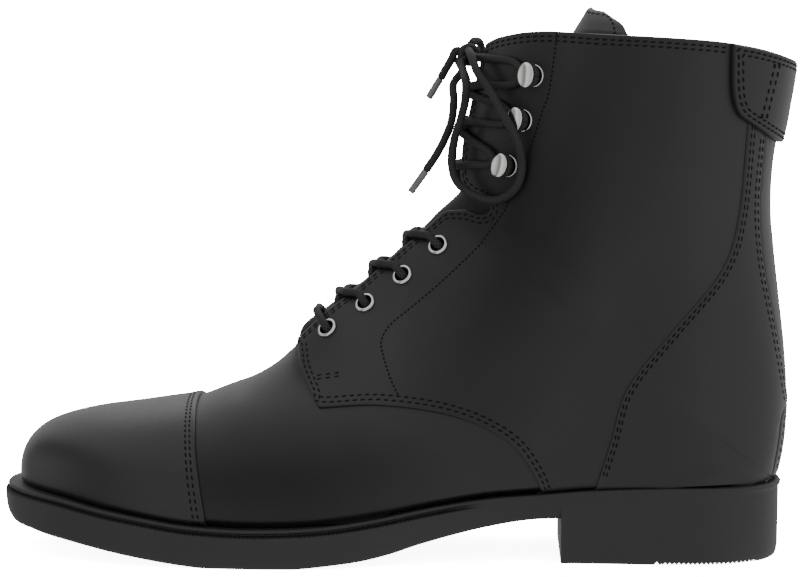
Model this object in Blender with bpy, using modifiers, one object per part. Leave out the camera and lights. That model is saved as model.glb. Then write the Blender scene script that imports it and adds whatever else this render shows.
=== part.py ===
"""Black leather lace-up ankle boot, left foot, standing empty on its sole.

X runs from the toe (-) to the heel (+), Y from the outer side (-) to the inner side (+), Z up.
Tables are in millimetres; the meshes are made in metres.
"""

import math

import bmesh
import bpy
import numpy as np
from mathutils import Matrix, Vector

MM = 0.001

# Driving dimensions, mm
SOLE_TOE_X = -150.0
SOLE_HEEL_X = 150.3
TOE_X = -142.7
HEEL_X = 147.3
TOE_ROUND = 60.0
HEEL_ROUND = 36.0
END_POWER = 2.2
TOE_SWING = 7.0
SWING_END_X = -20.0
SWING_POWER = 1.5
WALL = 1.8
SEAT_GAP = 0.3
HEEL_TUCK = 1.0
COLLAR_LIFT = 5.8
LIFT_FROM_ROW = 27.0
INSOLE_THICKNESS = 2.5
INSOLE_MARGIN = 3.9
INSOLE_HEEL_CLEAR = 6.0
TONGUE_THICKNESS = 2.2
TONGUE_GAP = 0.8
EYELET_SIDES = 8
HOLE_RADIUS = 3.15
LACE_RADIUS = 1.55
LACE_OVER = 3.7
LACE_BRIDGE = 2.5
LACE_CENTRE = 1.2
CROSS_STEP = 0.37
LACE_DIVE = 1.2
EDGE_CLEAR = 2.1
STRAND_SHARES = (0.0, 0.16, 0.32, 0.45, 0.55, 0.68, 0.84, 1.0)
EYELET_REACH = 3.2
HOOK_REACH = 3.6
DIVE_STEP = 0.3
ANKLE_DIVE_ROW = 22.6
HOOK_STEP = 0.3

# Rows of the section table that the design refers to
CAP_ROW = 9.0
THROAT_ROW = 12.0
HEEL_ROW = 21.0
COLLAR_ROW = 31.0

# Top of the sole, where the upper stands
SOLE_TOP_COLUMNS = ("x", "z")
SOLE_TOP = (
    (-150.0, 25.8),
    (-142.7, 25.5),
    (-127.0, 24.3),
    (-105.0, 20.6),
    (-91.0, 18.4),
    (-78.0, 16.5),
    (-65.0, 15.5),
    (-41.0, 15.3),
    (-22.0, 16.3),
    (-2.0, 18.8),
    (18.0, 22.4),
    (38.0, 25.4),
    (56.0, 26.8),
    (79.0, 28.6),
    (100.0, 29.4),
    (151.0, 29.6),
)

# Underside of the sole in front of the heel: toe spring, flat tread, arch
SOLE_UNDER_COLUMNS = ("x", "z")
SOLE_UNDER = (
    (-150.0, 15.2),
    (-146.0, 12.4),
    (-136.5, 10.4),
    (-120.0, 7.8),
    (-98.6, 4.0),
    (-80.0, 1.2),
    (-68.0, 0.0),
    (-34.0, 0.0),
    (-20.0, 1.2),
    (-8.0, 2.6),
    (3.0, 5.0),
    (12.0, 7.8),
    (25.0, 11.2),
    (38.0, 14.1),
    (56.0, 16.8),
    (66.0, 17.2),
)
HEEL_BREAST_X = 66.0
BREAST_RUN = 0.5

# Half widths of the edge where the upper meets the sole, before the ends are rounded
FEATHER_COLUMNS = ("x", "outer", "inner")
FEATHER = (
    (-150.0, 42.0, 40.5),
    (-100.0, 44.5, 43.8),
    (-70.0, 47.0, 46.8),
    (-45.0, 48.0, 46.8),
    (-20.0, 46.0, 43.0),
    (10.0, 39.0, 36.0),
    (40.0, 33.5, 31.5),
    (70.0, 31.5, 31.0),
    (105.0, 33.0, 32.8),
    (151.0, 32.0, 32.0),
)

# How far the sole stands out beyond that edge
SOLE_EDGE_COLUMNS = ("x", "margin")
SOLE_EDGE = (
    (-150.0, 4.5),
    (-45.0, 4.4),
    (10.0, 3.0),
    (60.0, 2.2),
    (151.0, 2.0),
)

# Side of the sole, top to bottom: (from the top or not, drop or rise, inset)
SOLE_SIDE = (
    (True, 0.0, 0.9),
    (True, 0.9, 0.0),
    (True, 3.0, 0.0),
    (True, 3.8, 1.1),
    (True, 4.7, 0.5),
    (False, 1.0, 1.8),
    (False, 0.0, 2.8),
)

# Sections of the foot, toe to heel: lines from the sole edge up to the front ridge.
# outer, inner: half widths; widest: where on the line; low, high: roundness below and above
FOOT_COLUMNS = ("front_x", "front_z", "base_x", "outer", "inner", "widest", "low", "high")
FOOT_SECTIONS = (
    (-142.7, 31.0, -142.7, 43.5, 41.5, 0.36, 2.4, 2.2),
    (-142.1, 35.0, -142.1, 43.5, 41.5, 0.36, 2.4, 2.2),
    (-140.6, 38.8, -140.6, 43.5, 41.5, 0.36, 2.4, 2.2),
    (-138.0, 42.6, -138.0, 43.7, 41.7, 0.36, 2.4, 2.2),
    (-133.0, 46.6, -133.0, 44.0, 42.2, 0.36, 2.4, 2.2),
    (-125.0, 49.8, -125.0, 44.6, 43.0, 0.35, 2.4, 2.2),
    (-113.0, 52.6, -112.5, 45.6, 44.4, 0.34, 2.4, 2.2),
    (-98.0, 54.8, -95.5, 46.8, 46.0, 0.33, 2.4, 2.15),
    (-84.0, 57.0, -79.5, 48.2, 47.8, 0.32, 2.4, 2.1),
    (-73.3, 59.0, -66.5, 49.2, 48.8, 0.31, 2.4, 2.0),
    (-62.0, 63.4, -51.0, 49.9, 49.2, 0.30, 2.4, 1.9),
    (-50.5, 68.0, -34.0, 49.6, 48.2, 0.29, 2.4, 1.75),
    (-40.0, 75.4, -14.0, 48.3, 46.2, 0.29, 2.4, 1.6),
    (-35.2, 84.0, 4.0, 46.2, 43.6, 0.30, 2.4, 1.5),
    (-25.5, 95.6, 27.0, 43.2, 40.8, 0.33, 2.3, 1.46),
    (-14.0, 105.2, 55.0, 41.0, 39.2, 0.37, 2.2, 1.46),
    (-4.2, 113.4, 80.0, 40.0, 38.8, 0.41, 2.2, 1.5),
    (3.8, 120.4, 103.0, 39.2, 38.4, 0.44, 2.2, 1.55),
    (9.2, 124.9, 121.0, 38.6, 38.0, 0.45, 2.2, 1.6),
    (13.2, 128.4, 134.0, 38.0, 37.6, 0.46, 2.2, 1.63),
    (15.6, 130.8, 142.6, 37.7, 37.4, 0.46, 2.2, 1.65),
)

# Sections of the heel and shaft: lines from the back seam to the front ridge
SHAFT_COLUMNS = ("front_x", "front_z", "base_x", "base_z", "outer", "inner", "widest", "low", "high")
SHAFT_SECTIONS = (
    (18.3, 133.8, 147.3, 30.2, 37.4, 37.1, 0.46, 2.2, 1.66),
    (21.4, 137.4, 149.7, 38.0, 37.0, 36.8, 0.47, 2.2, 1.68),
    (23.7, 141.2, 151.1, 50.0, 36.6, 36.5, 0.47, 2.2, 1.7),
    (24.6, 146.0, 151.5, 65.0, 36.2, 36.2, 0.48, 2.2, 1.74),
    (24.9, 151.0, 150.2, 82.0, 36.0, 36.0, 0.48, 2.2, 1.78),
    (25.4, 156.5, 148.1, 99.5, 35.8, 35.8, 0.49, 2.2, 1.82),
    (26.3, 162.0, 146.0, 117.0, 35.8, 35.8, 0.49, 2.2, 1.86),
    (27.9, 168.5, 144.6, 133.0, 36.0, 36.0, 0.5, 2.2, 1.9),
    (29.7, 176.5, 145.2, 150.0, 36.6, 36.6, 0.5, 2.2, 1.94),
    (31.9, 186.0, 148.2, 170.0, 37.3, 37.3, 0.5, 2.2, 1.97),
    (34.6, 195.3, 151.5, 189.5, 38.0, 38.0, 0.5, 2.2, 2.0),
)
SECTION_COLUMNS = SHAFT_COLUMNS

# Half width of the lacing gap, by section row
GAP_COLUMNS = ("row", "half_gap")
GAP = (
    (12.0, 0.0),
    (12.35, 5.2),
    (13.0, 7.2),
    (16.0, 7.4),
    (20.0, 7.8),
    (24.0, 8.8),
    (27.0, 10.0),
    (31.0, 12.0),
)
# Notch in both facings at the ankle, outline in side view: (x, z)
NOTCH = (
    (8.0, 136.0),
    (16.9, 129.4),
    (23.0, 131.6),
    (30.0, 132.2),
    (35.0, 131.0),
    (38.4, 131.8),
    (39.2, 133.8),
    (37.6, 135.8),
    (34.0, 136.8),
    (31.0, 138.6),
    (28.2, 142.4),
    (14.0, 147.0),
)

# Tongue: half width, set back from the facings, and puff between them, by section row
TONGUE_COLUMNS = ("row", "half_width", "lean", "puff")
TONGUE = (
    (11.5, 14.0, 1.2, 0.0),
    (12.35, 17.0, 0.9, 0.6),
    (13.0, 19.0, 0.4, 3.4),
    (14.0, 21.5, 0.0, 0.6),
    (18.0, 23.0, 0.0, 0.3),
    (21.0, 24.0, 0.0, 0.3),
    (24.0, 25.0, 3.0, 0.0),
    (27.0, 26.5, 10.5, 0.0),
    (29.0, 27.5, 19.0, 0.0),
    (31.0, 28.5, 29.5, 0.0),
)
# Top of the tongue above the collar: (further back, further up, share of the width)
TONGUE_TIP = (
    (3.0, 7.0, 0.9),
    (4.2, 10.0, 0.66),
    (5.4, 13.0, 0.4),
    (6.4, 16.2, 0.12),
)

# Overlays on the upper: (gap below, thickness)
CAP_LAYER = (0.6, 0.8)
QUARTER_LAYER = (0.3, 0.9)
COUNTER_LAYER = (0.3, 1.6)
STRIP_LAYER = (0.3, 1.1)
TAB_LAYER = (0.3, 1.6)
CUFF_LAYER = (0.3, 4.2)

# Edges of the overlays in side view: (x, z)
QUARTER_FRONT = ((-34.3, 80.4), (-32.7, 72.4), (-28.9, 64.6), (-25.2, 58.8))
QUARTER_LOWER = (
    (-25.2, 58.8),
    (-1.8, 60.4),
    (24.8, 57.1),
    (45.0, 48.0),
    (54.8, 36.0),
    (60.5, 22.0),
)
COUNTER_FRONT = (
    (76.0, 22.0),
    (83.6, 47.0),
    (89.8, 67.6),
    (106.6, 89.0),
    (124.5, 111.0),
    (131.0, 132.0),
    (133.9, 166.0),
)
BACK_SEAM = (
    (140.7, 160.6),
    (138.9, 135.0),
    (140.8, 112.0),
    (146.9, 83.5),
    (151.6, 60.0),
)
CUFF_FRONT = ((127.0, 206.0), (127.0, 180.0), (129.4, 170.0), (134.0, 166.0))
CUFF_LOWER = ((134.0, 166.0), (148.0, 157.0), (162.0, 152.0))
TAB_FRONT = ((152.2, 59.0), (149.6, 53.0), (148.3, 43.0), (144.8, 26.0))
ABOVE_Z = 215.0
BELOW_Z = 15.0
BEHIND_X = 175.0
SEAM_GAP = 0.35
OVERLAY_SEAT = 0.4
PRISM_REACH = 80.0
MID_CLEAR = 2.0
EDGE_SAMPLES = 2

# Eyelets and hooks, lowest first: (section row, half width)
EYELETS = ((13.81, 15.1), (14.89, 15.0), (16.22, 15.2), (18.28, 15.0))
HOOKS = ((26.36, 24.8), (28.47, 27.9), (29.81, 29.6))

# Turned profile of an eyelet, from the top of its rim round the outside: (radius, height over the upper)
EYELET_PROFILE = (
    (2.5, 2.1),
    (3.1, 2.3),
    (3.65, 1.9),
    (3.65, 1.45),
    (2.85, 1.45),
    (2.85, -1.8),
    (2.5, -1.8),
)
# Hook: base disc and neck as (radius, low, high), then the domed head
HOOK_BASE = (4.3, 1.45, 1.85)
HOOK_NECK = (1.3, 1.5, 6.2)
HOOK_HEAD_SIZE = (3.3, 4.8, 1.1)
HOOK_HEAD_HEIGHT = 6.2
HOOK_HEAD_FORWARD = 2.5
HOOK_NECK_FORWARD = 0.8

# Free lace: a loop of the bow over the lacing as (section row, place across, height)
LOOP = (
    (29.75, 18.5, 8.0),
    (29.33, 22.0, 7.6),
    (28.86, 25.0, 8.6),
    (28.39, 27.3, 10.2),
    (27.73, 28.4, 7.6),
    (26.79, 28.2, 4.4),
    (25.92, 27.4, 3.8),
    (25.16, 25.5, 3.8),
    (24.39, 22.4, 3.9),
    (24.01, 19.1, 5.0),
    (24.03, 15.6, 7.0),
    (24.49, 12.9, 7.8),
    (25.45, 11.8, 7.8),
    (26.64, 12.5, 7.8),
    (27.81, 14.7, 8.4),
    (28.69, 16.4, 9.4),
    (29.38, 16.5, 10.2),
)
LOOP_NEAR_ENDS = ((30.2, -10.2, 192.6), (27.2, -6.8, 188.2))
LOOP_NEAR_RISE = ((31.4, -17.4, 190.2),)
LOOP_FAR_ENDS = ((30.8, 6.4, 195.0), (26.0, 6.4, 188.6))
LOOP_FAR_RISE = ((32.2, 9.4, 196.2), (34.2, 15.5, 195.6), (35.2, 24.8, 191.2))
# Knot and ends of the lace: (x, y, z)
KNOT_CENTRE = (30.2, 0.0, 191.0)
KNOT_SIZE = (3.4, 5.0, 4.4)
END_LONG = (
    (28.0, -2.6, 185.0),
    (24.4, -7.4, 180.0),
    (24.6, -11.6, 174.0),
    (24.0, -13.0, 167.0),
    (21.8, -12.0, 160.4),
    (18.7, -11.0, 154.2),
    (14.2, -10.0, 147.2),
)
TIP_LONG = ((14.0, -10.0, 146.9), (8.3, -9.0, 138.8))
END_SHORT = ((25.4, -1.8, 192.6), (23.6, -2.1, 189.4), (21.4, -2.5, 185.6), (19.4, -3.0, 182.0))
TIP_SHORT = ((19.2, -3.0, 181.7), (14.9, -3.6, 174.6))
TIP_RADIUS = 1.4
CORD_NAMES = ("lace_knot", "lace_loop", "lace_end", "lace_tip")

# Resolution of the faceted forms
ROWS = (
    0.0, 1.0, 2.0, 3.0, 4.0, 5.0, 6.0, 7.5, 9.0, 10.5, 12.0, 12.35, 13.0, 14.0, 15.0, 16.0, 17.0, 18.0, 19.0,
    20.0, 20.5, 21.0, 22.0, 23.2, 24.5, 25.75, 27.0, 28.0, 29.0, 30.0, 31.0,
)
COLUMNS_PER_SIDE = 7
TONGUE_SPREAD = (-1.0, -0.7, -0.4, -0.2, 0.0, 0.2, 0.4, 0.7, 1.0)
TONGUE_ROWS = (
    11.5, 12.35, 13.0, 14.0, 15.0, 16.0, 17.0, 18.0, 19.0, 20.0, 21.0, 22.0, 23.2, 24.5, 25.75, 27.0,
    28.0, 29.0, 30.0, 31.0,
)
SOLE_STATIONS = 36
INSOLE_STATIONS = 26
WELD = 0.00002

LEATHER = ("black_leather", (0.022, 0.023, 0.023), 0.38, 0.0)
RUBBER = ("black_rubber", (0.027, 0.027, 0.027), 0.62, 0.0)
LINING = ("dark_lining", (0.03, 0.03, 0.03), 0.8, 0.0)
NICKEL = ("bright_nickel", (0.62, 0.62, 0.6), 0.22, 1.0)
CORD = ("black_cord", (0.02, 0.02, 0.021), 0.75, 0.0)
CORD_TIP = ("clear_tip", (0.16, 0.16, 0.16), 0.3, 0.0)


def column(table, columns, name):
    """One named column of a table, as an array."""
    place = columns.index(name)
    return np.array([row[place] for row in table], float)


def smooth(knots, values, at):
    """Smooth curve through the values at the knots, read at the places asked for."""
    knots = np.asarray(knots, float)
    values = np.asarray(values, float)
    at = np.clip(np.asarray(at, float), knots[0], knots[-1])
    slopes = np.gradient(values, knots)
    left = np.clip(np.searchsorted(knots, at, side="right") - 1, 0, len(knots) - 2)
    step = knots[left + 1] - knots[left]
    f = (at - knots[left]) / step
    rise = values[left + 1] - values[left]
    bend = f * (1 - f) * ((1 - f) * (slopes[left] * step - rise) - f * (slopes[left + 1] * step - rise))
    return values[left] + f * rise + bend


def read(table, columns, name, at):
    """A table's named column as a smooth curve over its first column."""
    return smooth(column(table, columns, columns[0]), column(table, columns, name), at)


def sole_top(x):
    return read(SOLE_TOP, SOLE_TOP_COLUMNS, "z", x)


def sole_under(x):
    """Underside of the sole: arch and tread, then the heel block at floor level."""
    under = np.maximum(read(SOLE_UNDER, SOLE_UNDER_COLUMNS, "z", x), 0.0)
    return np.where(np.asarray(x) >= HEEL_BREAST_X, 0.0, under)


def end_round(x, toe_x, heel_x):
    """Share of the half width left where toe and heel are rounded in plan."""
    x = np.asarray(x, float)
    toe = np.clip((toe_x + TOE_ROUND - x) / TOE_ROUND, 0.0, 1.0)
    heel = np.clip((x - heel_x + HEEL_ROUND) / HEEL_ROUND, 0.0, 1.0)
    return (1 - toe ** END_POWER) ** (1 / END_POWER) * (1 - heel ** END_POWER) ** (1 / END_POWER)


def swing(x):
    """Centre line of the foot in plan: the toe turns towards the inner side."""
    reach = np.clip((SWING_END_X - np.asarray(x, float)) / (SWING_END_X - SOLE_TOE_X), 0.0, 1.0)
    return TOE_SWING * reach ** SWING_POWER


def feather(x, side):
    """Half width of the upper where it meets the sole."""
    return read(FEATHER, FEATHER_COLUMNS, side, x) * end_round(x, TOE_X, HEEL_X)


def sole_half(x, side):
    """Half width of the sole."""
    wide = read(FEATHER, FEATHER_COLUMNS, side, x) + read(SOLE_EDGE, SOLE_EDGE_COLUMNS, "margin", x)
    return wide * end_round(x, SOLE_TOE_X, SOLE_HEEL_X)


def section_rows():
    """The foot's and the shaft's sections as one table."""
    rows = []
    for row in FOOT_SECTIONS:
        named = dict(zip(FOOT_COLUMNS, row))
        named["base_z"] = float(sole_top(named["base_x"]))
        rows.append(tuple(named[name] for name in SECTION_COLUMNS))
    return tuple(rows) + SHAFT_SECTIONS


SECTIONS = section_rows()


def section(row, name):
    """A named value of the section at a row, which may lie between two rows of the table."""
    values = column(SECTIONS, SECTION_COLUMNS, name)
    return smooth(np.arange(len(values)), values, row)


def half_gap(row):
    """Half width of the lacing gap: none below the throat."""
    gap = read(GAP, GAP_COLUMNS, "half_gap", row)
    return np.where(np.asarray(row) <= THROAT_ROW, 0.0, np.maximum(gap, 0.0))


def full_width(row, side):
    """Largest half width of a section."""
    toe = end_round(np.where(np.asarray(row) < HEEL_ROW, section(row, "base_x"), 0.0), TOE_X, SOLE_HEEL_X * 2)
    return np.maximum(section(row, side) * toe, 1e-6)


def share_at(row, side, half_width):
    """Where on a section, above its widest point, the half width has this value."""
    wide = np.minimum(half_width / full_width(row, side), 1.0)
    widest = section(row, "widest")
    high = section(row, "high")
    return widest + (1 - widest) * (1 - wide ** high) ** (1 / high)


def collar_lift(row, s):
    """Rise of the collar between its front and its back."""
    share = np.clip((row - LIFT_FROM_ROW) / (COLLAR_ROW - LIFT_FROM_ROW), 0.0, 1.0)
    return COLLAR_LIFT * share ** 2 * (1 - (2 * s - 1) ** 4)


def upper_point(row, s, side, lifted=True):
    """Point on the outer face of the upper: s runs from the sole or back seam (0) to the ridge (1)."""
    row = np.asarray(row, float)
    base_x = section(row, "base_x")
    widest = section(row, "widest")
    low = section(row, "low")
    high = section(row, "high")
    wide = full_width(row, side)
    on_sole = np.where(row < HEEL_ROW, feather(base_x, side), 0.0)
    cut = (1 - np.clip(on_sole / wide, 0.0, 1.0) ** low) ** (1 / low)
    below = 1 - (cut * np.clip((widest - s) / widest, 0.0, 1.0)) ** low
    above = 1 - np.clip((s - widest) / (1 - widest), 0.0, 1.0) ** high
    half = wide * np.where(s < widest, below ** (1 / low), above ** (1 / high))
    lift = collar_lift(row, s) if lifted else 0.0
    tuck = HEEL_TUCK * np.clip(row - HEEL_ROW + 2.0, 0.0, 1.0)
    base_z = np.where(row < HEEL_ROW, sole_top(base_x) + tuck, section(row, "base_z"))
    x = base_x + (section(row, "front_x") - base_x) * s
    z = base_z + (section(row, "front_z") - base_z) * s + lift
    sign = -1.0 if side == "outer" else 1.0
    centre = np.where(row < HEEL_ROW, swing(base_x), 0.0)
    return np.stack([x, centre + sign * half, z], axis=-1) * MM


def new_object(name, mesh, collection):
    """Object for a mesh, in a collection and under the boot's frame."""
    obj = bpy.data.objects.new(name, mesh)
    collection.objects.link(obj)
    obj.parent = FRAME
    return obj


def paint(obj, look):
    """Give an object its Principled material."""
    name, colour, roughness, metallic = look
    material = bpy.data.materials.get(name)
    if material is None:
        material = bpy.data.materials.new(name)
        material.use_nodes = True
        shader = material.node_tree.nodes["Principled BSDF"]
        shader.inputs["Base Color"].default_value = (*colour, 1.0)
        shader.inputs["Roughness"].default_value = roughness
        shader.inputs["Metallic"].default_value = metallic
    obj.data.materials.clear()
    obj.data.materials.append(material)


def mesh_from(name, bm):
    """Finish a bmesh as a smooth-shaded mesh."""
    mesh = bpy.data.meshes.new(name)
    bm.to_mesh(mesh)
    bm.free()
    mesh.shade_smooth()
    mesh.set_sharp_from_angle(angle=math.radians(40))
    return mesh


def grid_faces(bm, points, flip):
    """Quads over a grid of points."""
    verts = [[bm.verts.new(point) for point in line] for line in points]
    for line, following in zip(verts, verts[1:]):
        for j in range(len(line) - 1):
            quad = [line[j], following[j], following[j + 1], line[j + 1]]
            bm.faces.new(quad[::-1] if flip else quad)


def upper_skin(name, rows):
    """Open surface of the upper's outer face over some rows, both sides sewn at toe, ridge and back."""
    rows = np.asarray(rows, float)
    even = np.linspace(0.0, 1.0, COLUMNS_PER_SIDE + 1)
    turn = (even + (1 - np.cos(math.pi * even)) / 2) / 2
    bm = bmesh.new()
    for side in ("outer", "inner"):
        edge = share_at(rows, side, half_gap(rows))
        lines = [upper_point(row, top * turn, side) for row, top in zip(rows, edge)]
        grid_faces(bm, lines, flip=side == "inner")
    bmesh.ops.remove_doubles(bm, verts=bm.verts, dist=WELD)
    bmesh.ops.dissolve_degenerate(bm, edges=bm.edges, dist=WELD / 2)
    tip = [face for face in bm.faces if max(vert.co.x for vert in face.verts) < (TOE_X + 1.0) * MM]
    bmesh.ops.triangulate(bm, faces=tip, quad_method="LONG_EDGE")
    bmesh.ops.triangulate(bm, faces=bm.faces, quad_method="SHORT_EDGE")
    return mesh_from(name, bm)


def thicken(obj, thickness, outwards):
    """Wall of an even thickness on one side of an open surface."""
    wall = obj.modifiers.new("wall", "SOLIDIFY")
    wall.thickness = thickness * MM
    wall.offset = 1.0 if outwards else -1.0


def shift_out(obj, distance):
    """Move a surface along its normals."""
    move = obj.modifiers.new("stand_off", "DISPLACE")
    move.mid_level = 0.0
    move.strength = distance * MM


def plan_stack(name, ends, half, layers, stations):
    """Closed solid of plan outlines stacked from the top down.

    ends: toe and heel x; half: half width by x and side; layers: inset and height by x, top first.
    """
    toe_x, heel_x = ends
    turn = (1 - np.cos(np.linspace(0.0, math.pi, stations))) / 2
    xs = toe_x + (heel_x - toe_x) * turn
    breast = (HEEL_BREAST_X - BREAST_RUN, HEEL_BREAST_X)
    clear = np.abs(xs - HEEL_BREAST_X) > 2 * BREAST_RUN
    xs = np.sort(np.concatenate([xs[clear], breast]))
    middle = (toe_x + heel_x) / 2
    length = (heel_x - toe_x) / 2
    wide = max(float(half(xs, "outer").max()), float(half(xs, "inner").max()))
    bm = bmesh.new()
    loops = []
    for inset, height in layers:
        x = middle + (xs - middle) * (1 - inset / length)
        z = height(xs)
        outer = swing(xs) - half(xs, "outer") * (1 - inset / wide)
        inner = swing(xs) + half(xs, "inner") * (1 - inset / wide)
        ring = [(x[i], outer[i], z[i]) for i in range(len(xs))]
        ring += [(x[i], inner[i], z[i]) for i in range(len(xs) - 2, 0, -1)]
        loops.append([bm.verts.new(Vector(point) * MM) for point in ring])
    count = len(loops[0])
    for upper, lower in zip(loops, loops[1:]):
        for i in range(count):
            following = (i + 1) % count
            bm.faces.new([upper[i], lower[i], lower[following], upper[following]])
    for loop, flip in ((loops[0], False), (loops[-1], True)):
        for i in range(len(xs) - 1):
            corners = [loop[i], loop[i + 1], loop[-i - 1], loop[-i] if i else loop[0]]
            corners = list(dict.fromkeys(corners))
            bm.faces.new(corners[::-1] if flip else corners)
    bmesh.ops.recalc_face_normals(bm, faces=bm.faces)
    return mesh_from(name, bm)


def make_outsole():
    layers = []
    for from_top, height, inset in SOLE_SIDE:
        if from_top:
            layers.append((inset, lambda x, drop=height: sole_top(x) - SEAT_GAP - drop))
        else:
            layers.append((inset, lambda x, rise=height: sole_under(x) + rise))
    mesh = plan_stack("outsole", (SOLE_TOE_X, SOLE_HEEL_X), sole_half, layers, SOLE_STATIONS)
    paint(new_object("outsole", mesh, PARTS), RUBBER)


def make_insole():
    def half(x, side):
        x = x + INSOLE_HEEL_CLEAR * np.clip(x / (HEEL_X - INSOLE_HEEL_CLEAR), 0.0, 1.0)
        return np.maximum(feather(x, side) - INSOLE_MARGIN * end_round(x, TOE_X, HEEL_X), 0.0)

    layers = (
        (INSOLE_MARGIN, lambda x: sole_top(x) + INSOLE_THICKNESS),
        (INSOLE_MARGIN, lambda x: sole_top(x)),
    )
    mesh = plan_stack("insole", (TOE_X, HEEL_X - INSOLE_HEEL_CLEAR), half, layers, INSOLE_STATIONS)
    paint(new_object("insole", mesh, PARTS), LINING)


def make_upper():
    obj = new_object("upper", upper_skin("upper", ROWS), PARTS)
    thicken(obj, WALL, outwards=False)
    boolean(obj, "DIFFERENCE", EYELET_HOLES)
    boolean(obj, "DIFFERENCE", NOTCH_PRISM)
    seat_line = [(x, BELOW_Z) for x in np.linspace(SOLE_TOE_X - 10.0, BEHIND_X, SOLE_STATIONS)]
    body = seat_line + [(BEHIND_X, ABOVE_Z), (SOLE_TOE_X - 10.0, ABOVE_Z)]
    boolean(obj, "INTERSECT", side_prism("upper_outline", over_sole(body), -PRISM_REACH, PRISM_REACH))
    paint(obj, LEATHER)


def tongue_line(row):
    """Points across the tongue at a section row, before it is set in behind the facings."""
    spread = np.array(TONGUE_SPREAD)
    wide = read(TONGUE, TONGUE_COLUMNS, "half_width", row)
    lean = read(TONGUE, TONGUE_COLUMNS, "lean", row)
    puff = read(TONGUE, TONGUE_COLUMNS, "puff", row)
    gap = max(float(half_gap(row)), 1.0)
    line = []
    for place in spread * wide:
        side = "outer" if place < 0 else "inner"
        point = upper_point(row, share_at(row, side, abs(place)), side, lifted=False)
        front = np.array([section(row, "front_x"), 0.0, section(row, "front_z")])
        base = np.array([section(row, "base_x"), 0.0, section(row, "base_z")])
        back = (base - front) / np.linalg.norm(base - front)
        swell = puff * max(0.0, 1 - (place / gap) ** 2)
        line.append(point + back * (lean - swell) * MM)
    return line


def make_tongue():
    lines = [tongue_line(row) for row in TONGUE_ROWS]
    top = np.array(lines[-1])
    centre = top[len(TONGUE_SPREAD) // 2]
    for back, up, share in TONGUE_TIP:
        moved = centre + (top - centre) * np.array([share, share, share])
        lines.append(list(moved + np.array([back, 0.0, up]) * MM))
    bm = bmesh.new()
    grid_faces(bm, lines, flip=False)
    obj = new_object("tongue", mesh_from("tongue", bm), PARTS)
    shift_out(obj, -(WALL + TONGUE_GAP))
    thicken(obj, TONGUE_THICKNESS, outwards=False)
    paint(obj, LEATHER)


def along(edge, samples=EDGE_SAMPLES):
    """Points on a smooth line through an edge's points."""
    points = np.array(edge, float)
    places = np.linspace(0, len(points) - 1, (len(points) - 1) * samples + 1)
    knots = np.arange(len(points))
    return [tuple(smooth(knots, points[:, k], place) for k in range(points.shape[1])) for place in places]


def over_sole(outline):
    """An outline in side view, kept clear of the top of the sole."""
    return [(x, max(z, float(sole_top(x)) + OVERLAY_SEAT)) for x, z in outline]


def beside(edge, step):
    """An edge moved sideways in X by a small step."""
    return [(x + step, z) for x, z in edge]


def side_prism(name, outline, low_y, high_y):
    """Prism over an outline in side view, kept as a cutter."""
    bm = bmesh.new()
    near = [bm.verts.new(Vector((x, low_y, z)) * MM) for x, z in outline]
    far = [bm.verts.new(Vector((x, high_y, z)) * MM) for x, z in outline]
    bm.faces.new(near)
    bm.faces.new(far[::-1])
    for i in range(len(near)):
        following = (i + 1) % len(near)
        bm.faces.new([near[i], far[i], far[following], near[following]])
    bmesh.ops.recalc_face_normals(bm, faces=bm.faces)
    return hidden(new_object(name, mesh_from(name, bm), CUTTERS))


def hidden(obj):
    """Mark an object as a cutter."""
    obj.hide_render = True
    obj.display_type = "WIRE"
    return obj


def boolean(obj, operation, other):
    """Cut or join an object with another one."""
    cut = obj.modifiers.new(operation.lower(), "BOOLEAN")
    cut.operation = operation
    cut.solver = "EXACT"
    cut.object = other


def overlay(name, layer, span, outline, reach=(-PRISM_REACH, PRISM_REACH)):
    """Leather piece on the upper, cut from its surface over a span of rows by an outline in side view."""
    gap, thickness = layer
    rows = [row for row in ROWS if span[0] <= row <= span[1]]
    obj = new_object(name, upper_skin(name, rows), PARTS)
    shift_out(obj, gap)
    thicken(obj, thickness, outwards=True)
    boolean(obj, "INTERSECT", side_prism(name + "_outline", over_sole(outline), *reach))
    paint(obj, LEATHER)
    return obj


def make_toe_cap():
    floor_line = [(x, BELOW_Z) for x in np.linspace(SOLE_TOE_X - 10.0, SWING_END_X, 16)]
    cap = floor_line + [(SWING_END_X, ABOVE_Z), (SOLE_TOE_X - 10.0, ABOVE_Z)]
    overlay("toe_cap", CAP_LAYER, (0.0, CAP_ROW), cap)


def make_side_panels():
    """Quarters and heel counters, one of each on either side."""
    quarter = along(QUARTER_FRONT) + along(QUARTER_LOWER)[1:]
    quarter += beside(along(COUNTER_FRONT), -SEAM_GAP)
    quarter += beside(along(CUFF_FRONT)[::-1], -SEAM_GAP)
    quarter += [(0.0, ABOVE_Z), (-60.0, 100.0)]
    counter = along(COUNTER_FRONT)[:-1]
    counter += [(x, z - SEAM_GAP) for x, z in along(CUFF_LOWER) if COUNTER_FRONT[-1][0] < x < BACK_SEAM[0][0]]
    counter += beside(along(BACK_SEAM), -SEAM_GAP)
    counter += beside(along(TAB_FRONT), -SEAM_GAP)
    counter += [(x, BELOW_Z) for x in np.linspace(TAB_FRONT[-1][0], COUNTER_FRONT[0][0], 8)[1:-1]]
    for side, reach in (("outer", (-PRISM_REACH, -MID_CLEAR)), ("inner", (MID_CLEAR, PRISM_REACH))):
        panel = overlay("quarter_" + side, QUARTER_LAYER, (THROAT_ROW, COLLAR_ROW), quarter, reach)
        boolean(panel, "DIFFERENCE", EYELET_HOLES)
        boolean(panel, "DIFFERENCE", NOTCH_PRISM)
        overlay("counter_" + side, COUNTER_LAYER, (THROAT_ROW + 1.0, COLLAR_ROW), counter, reach)


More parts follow.
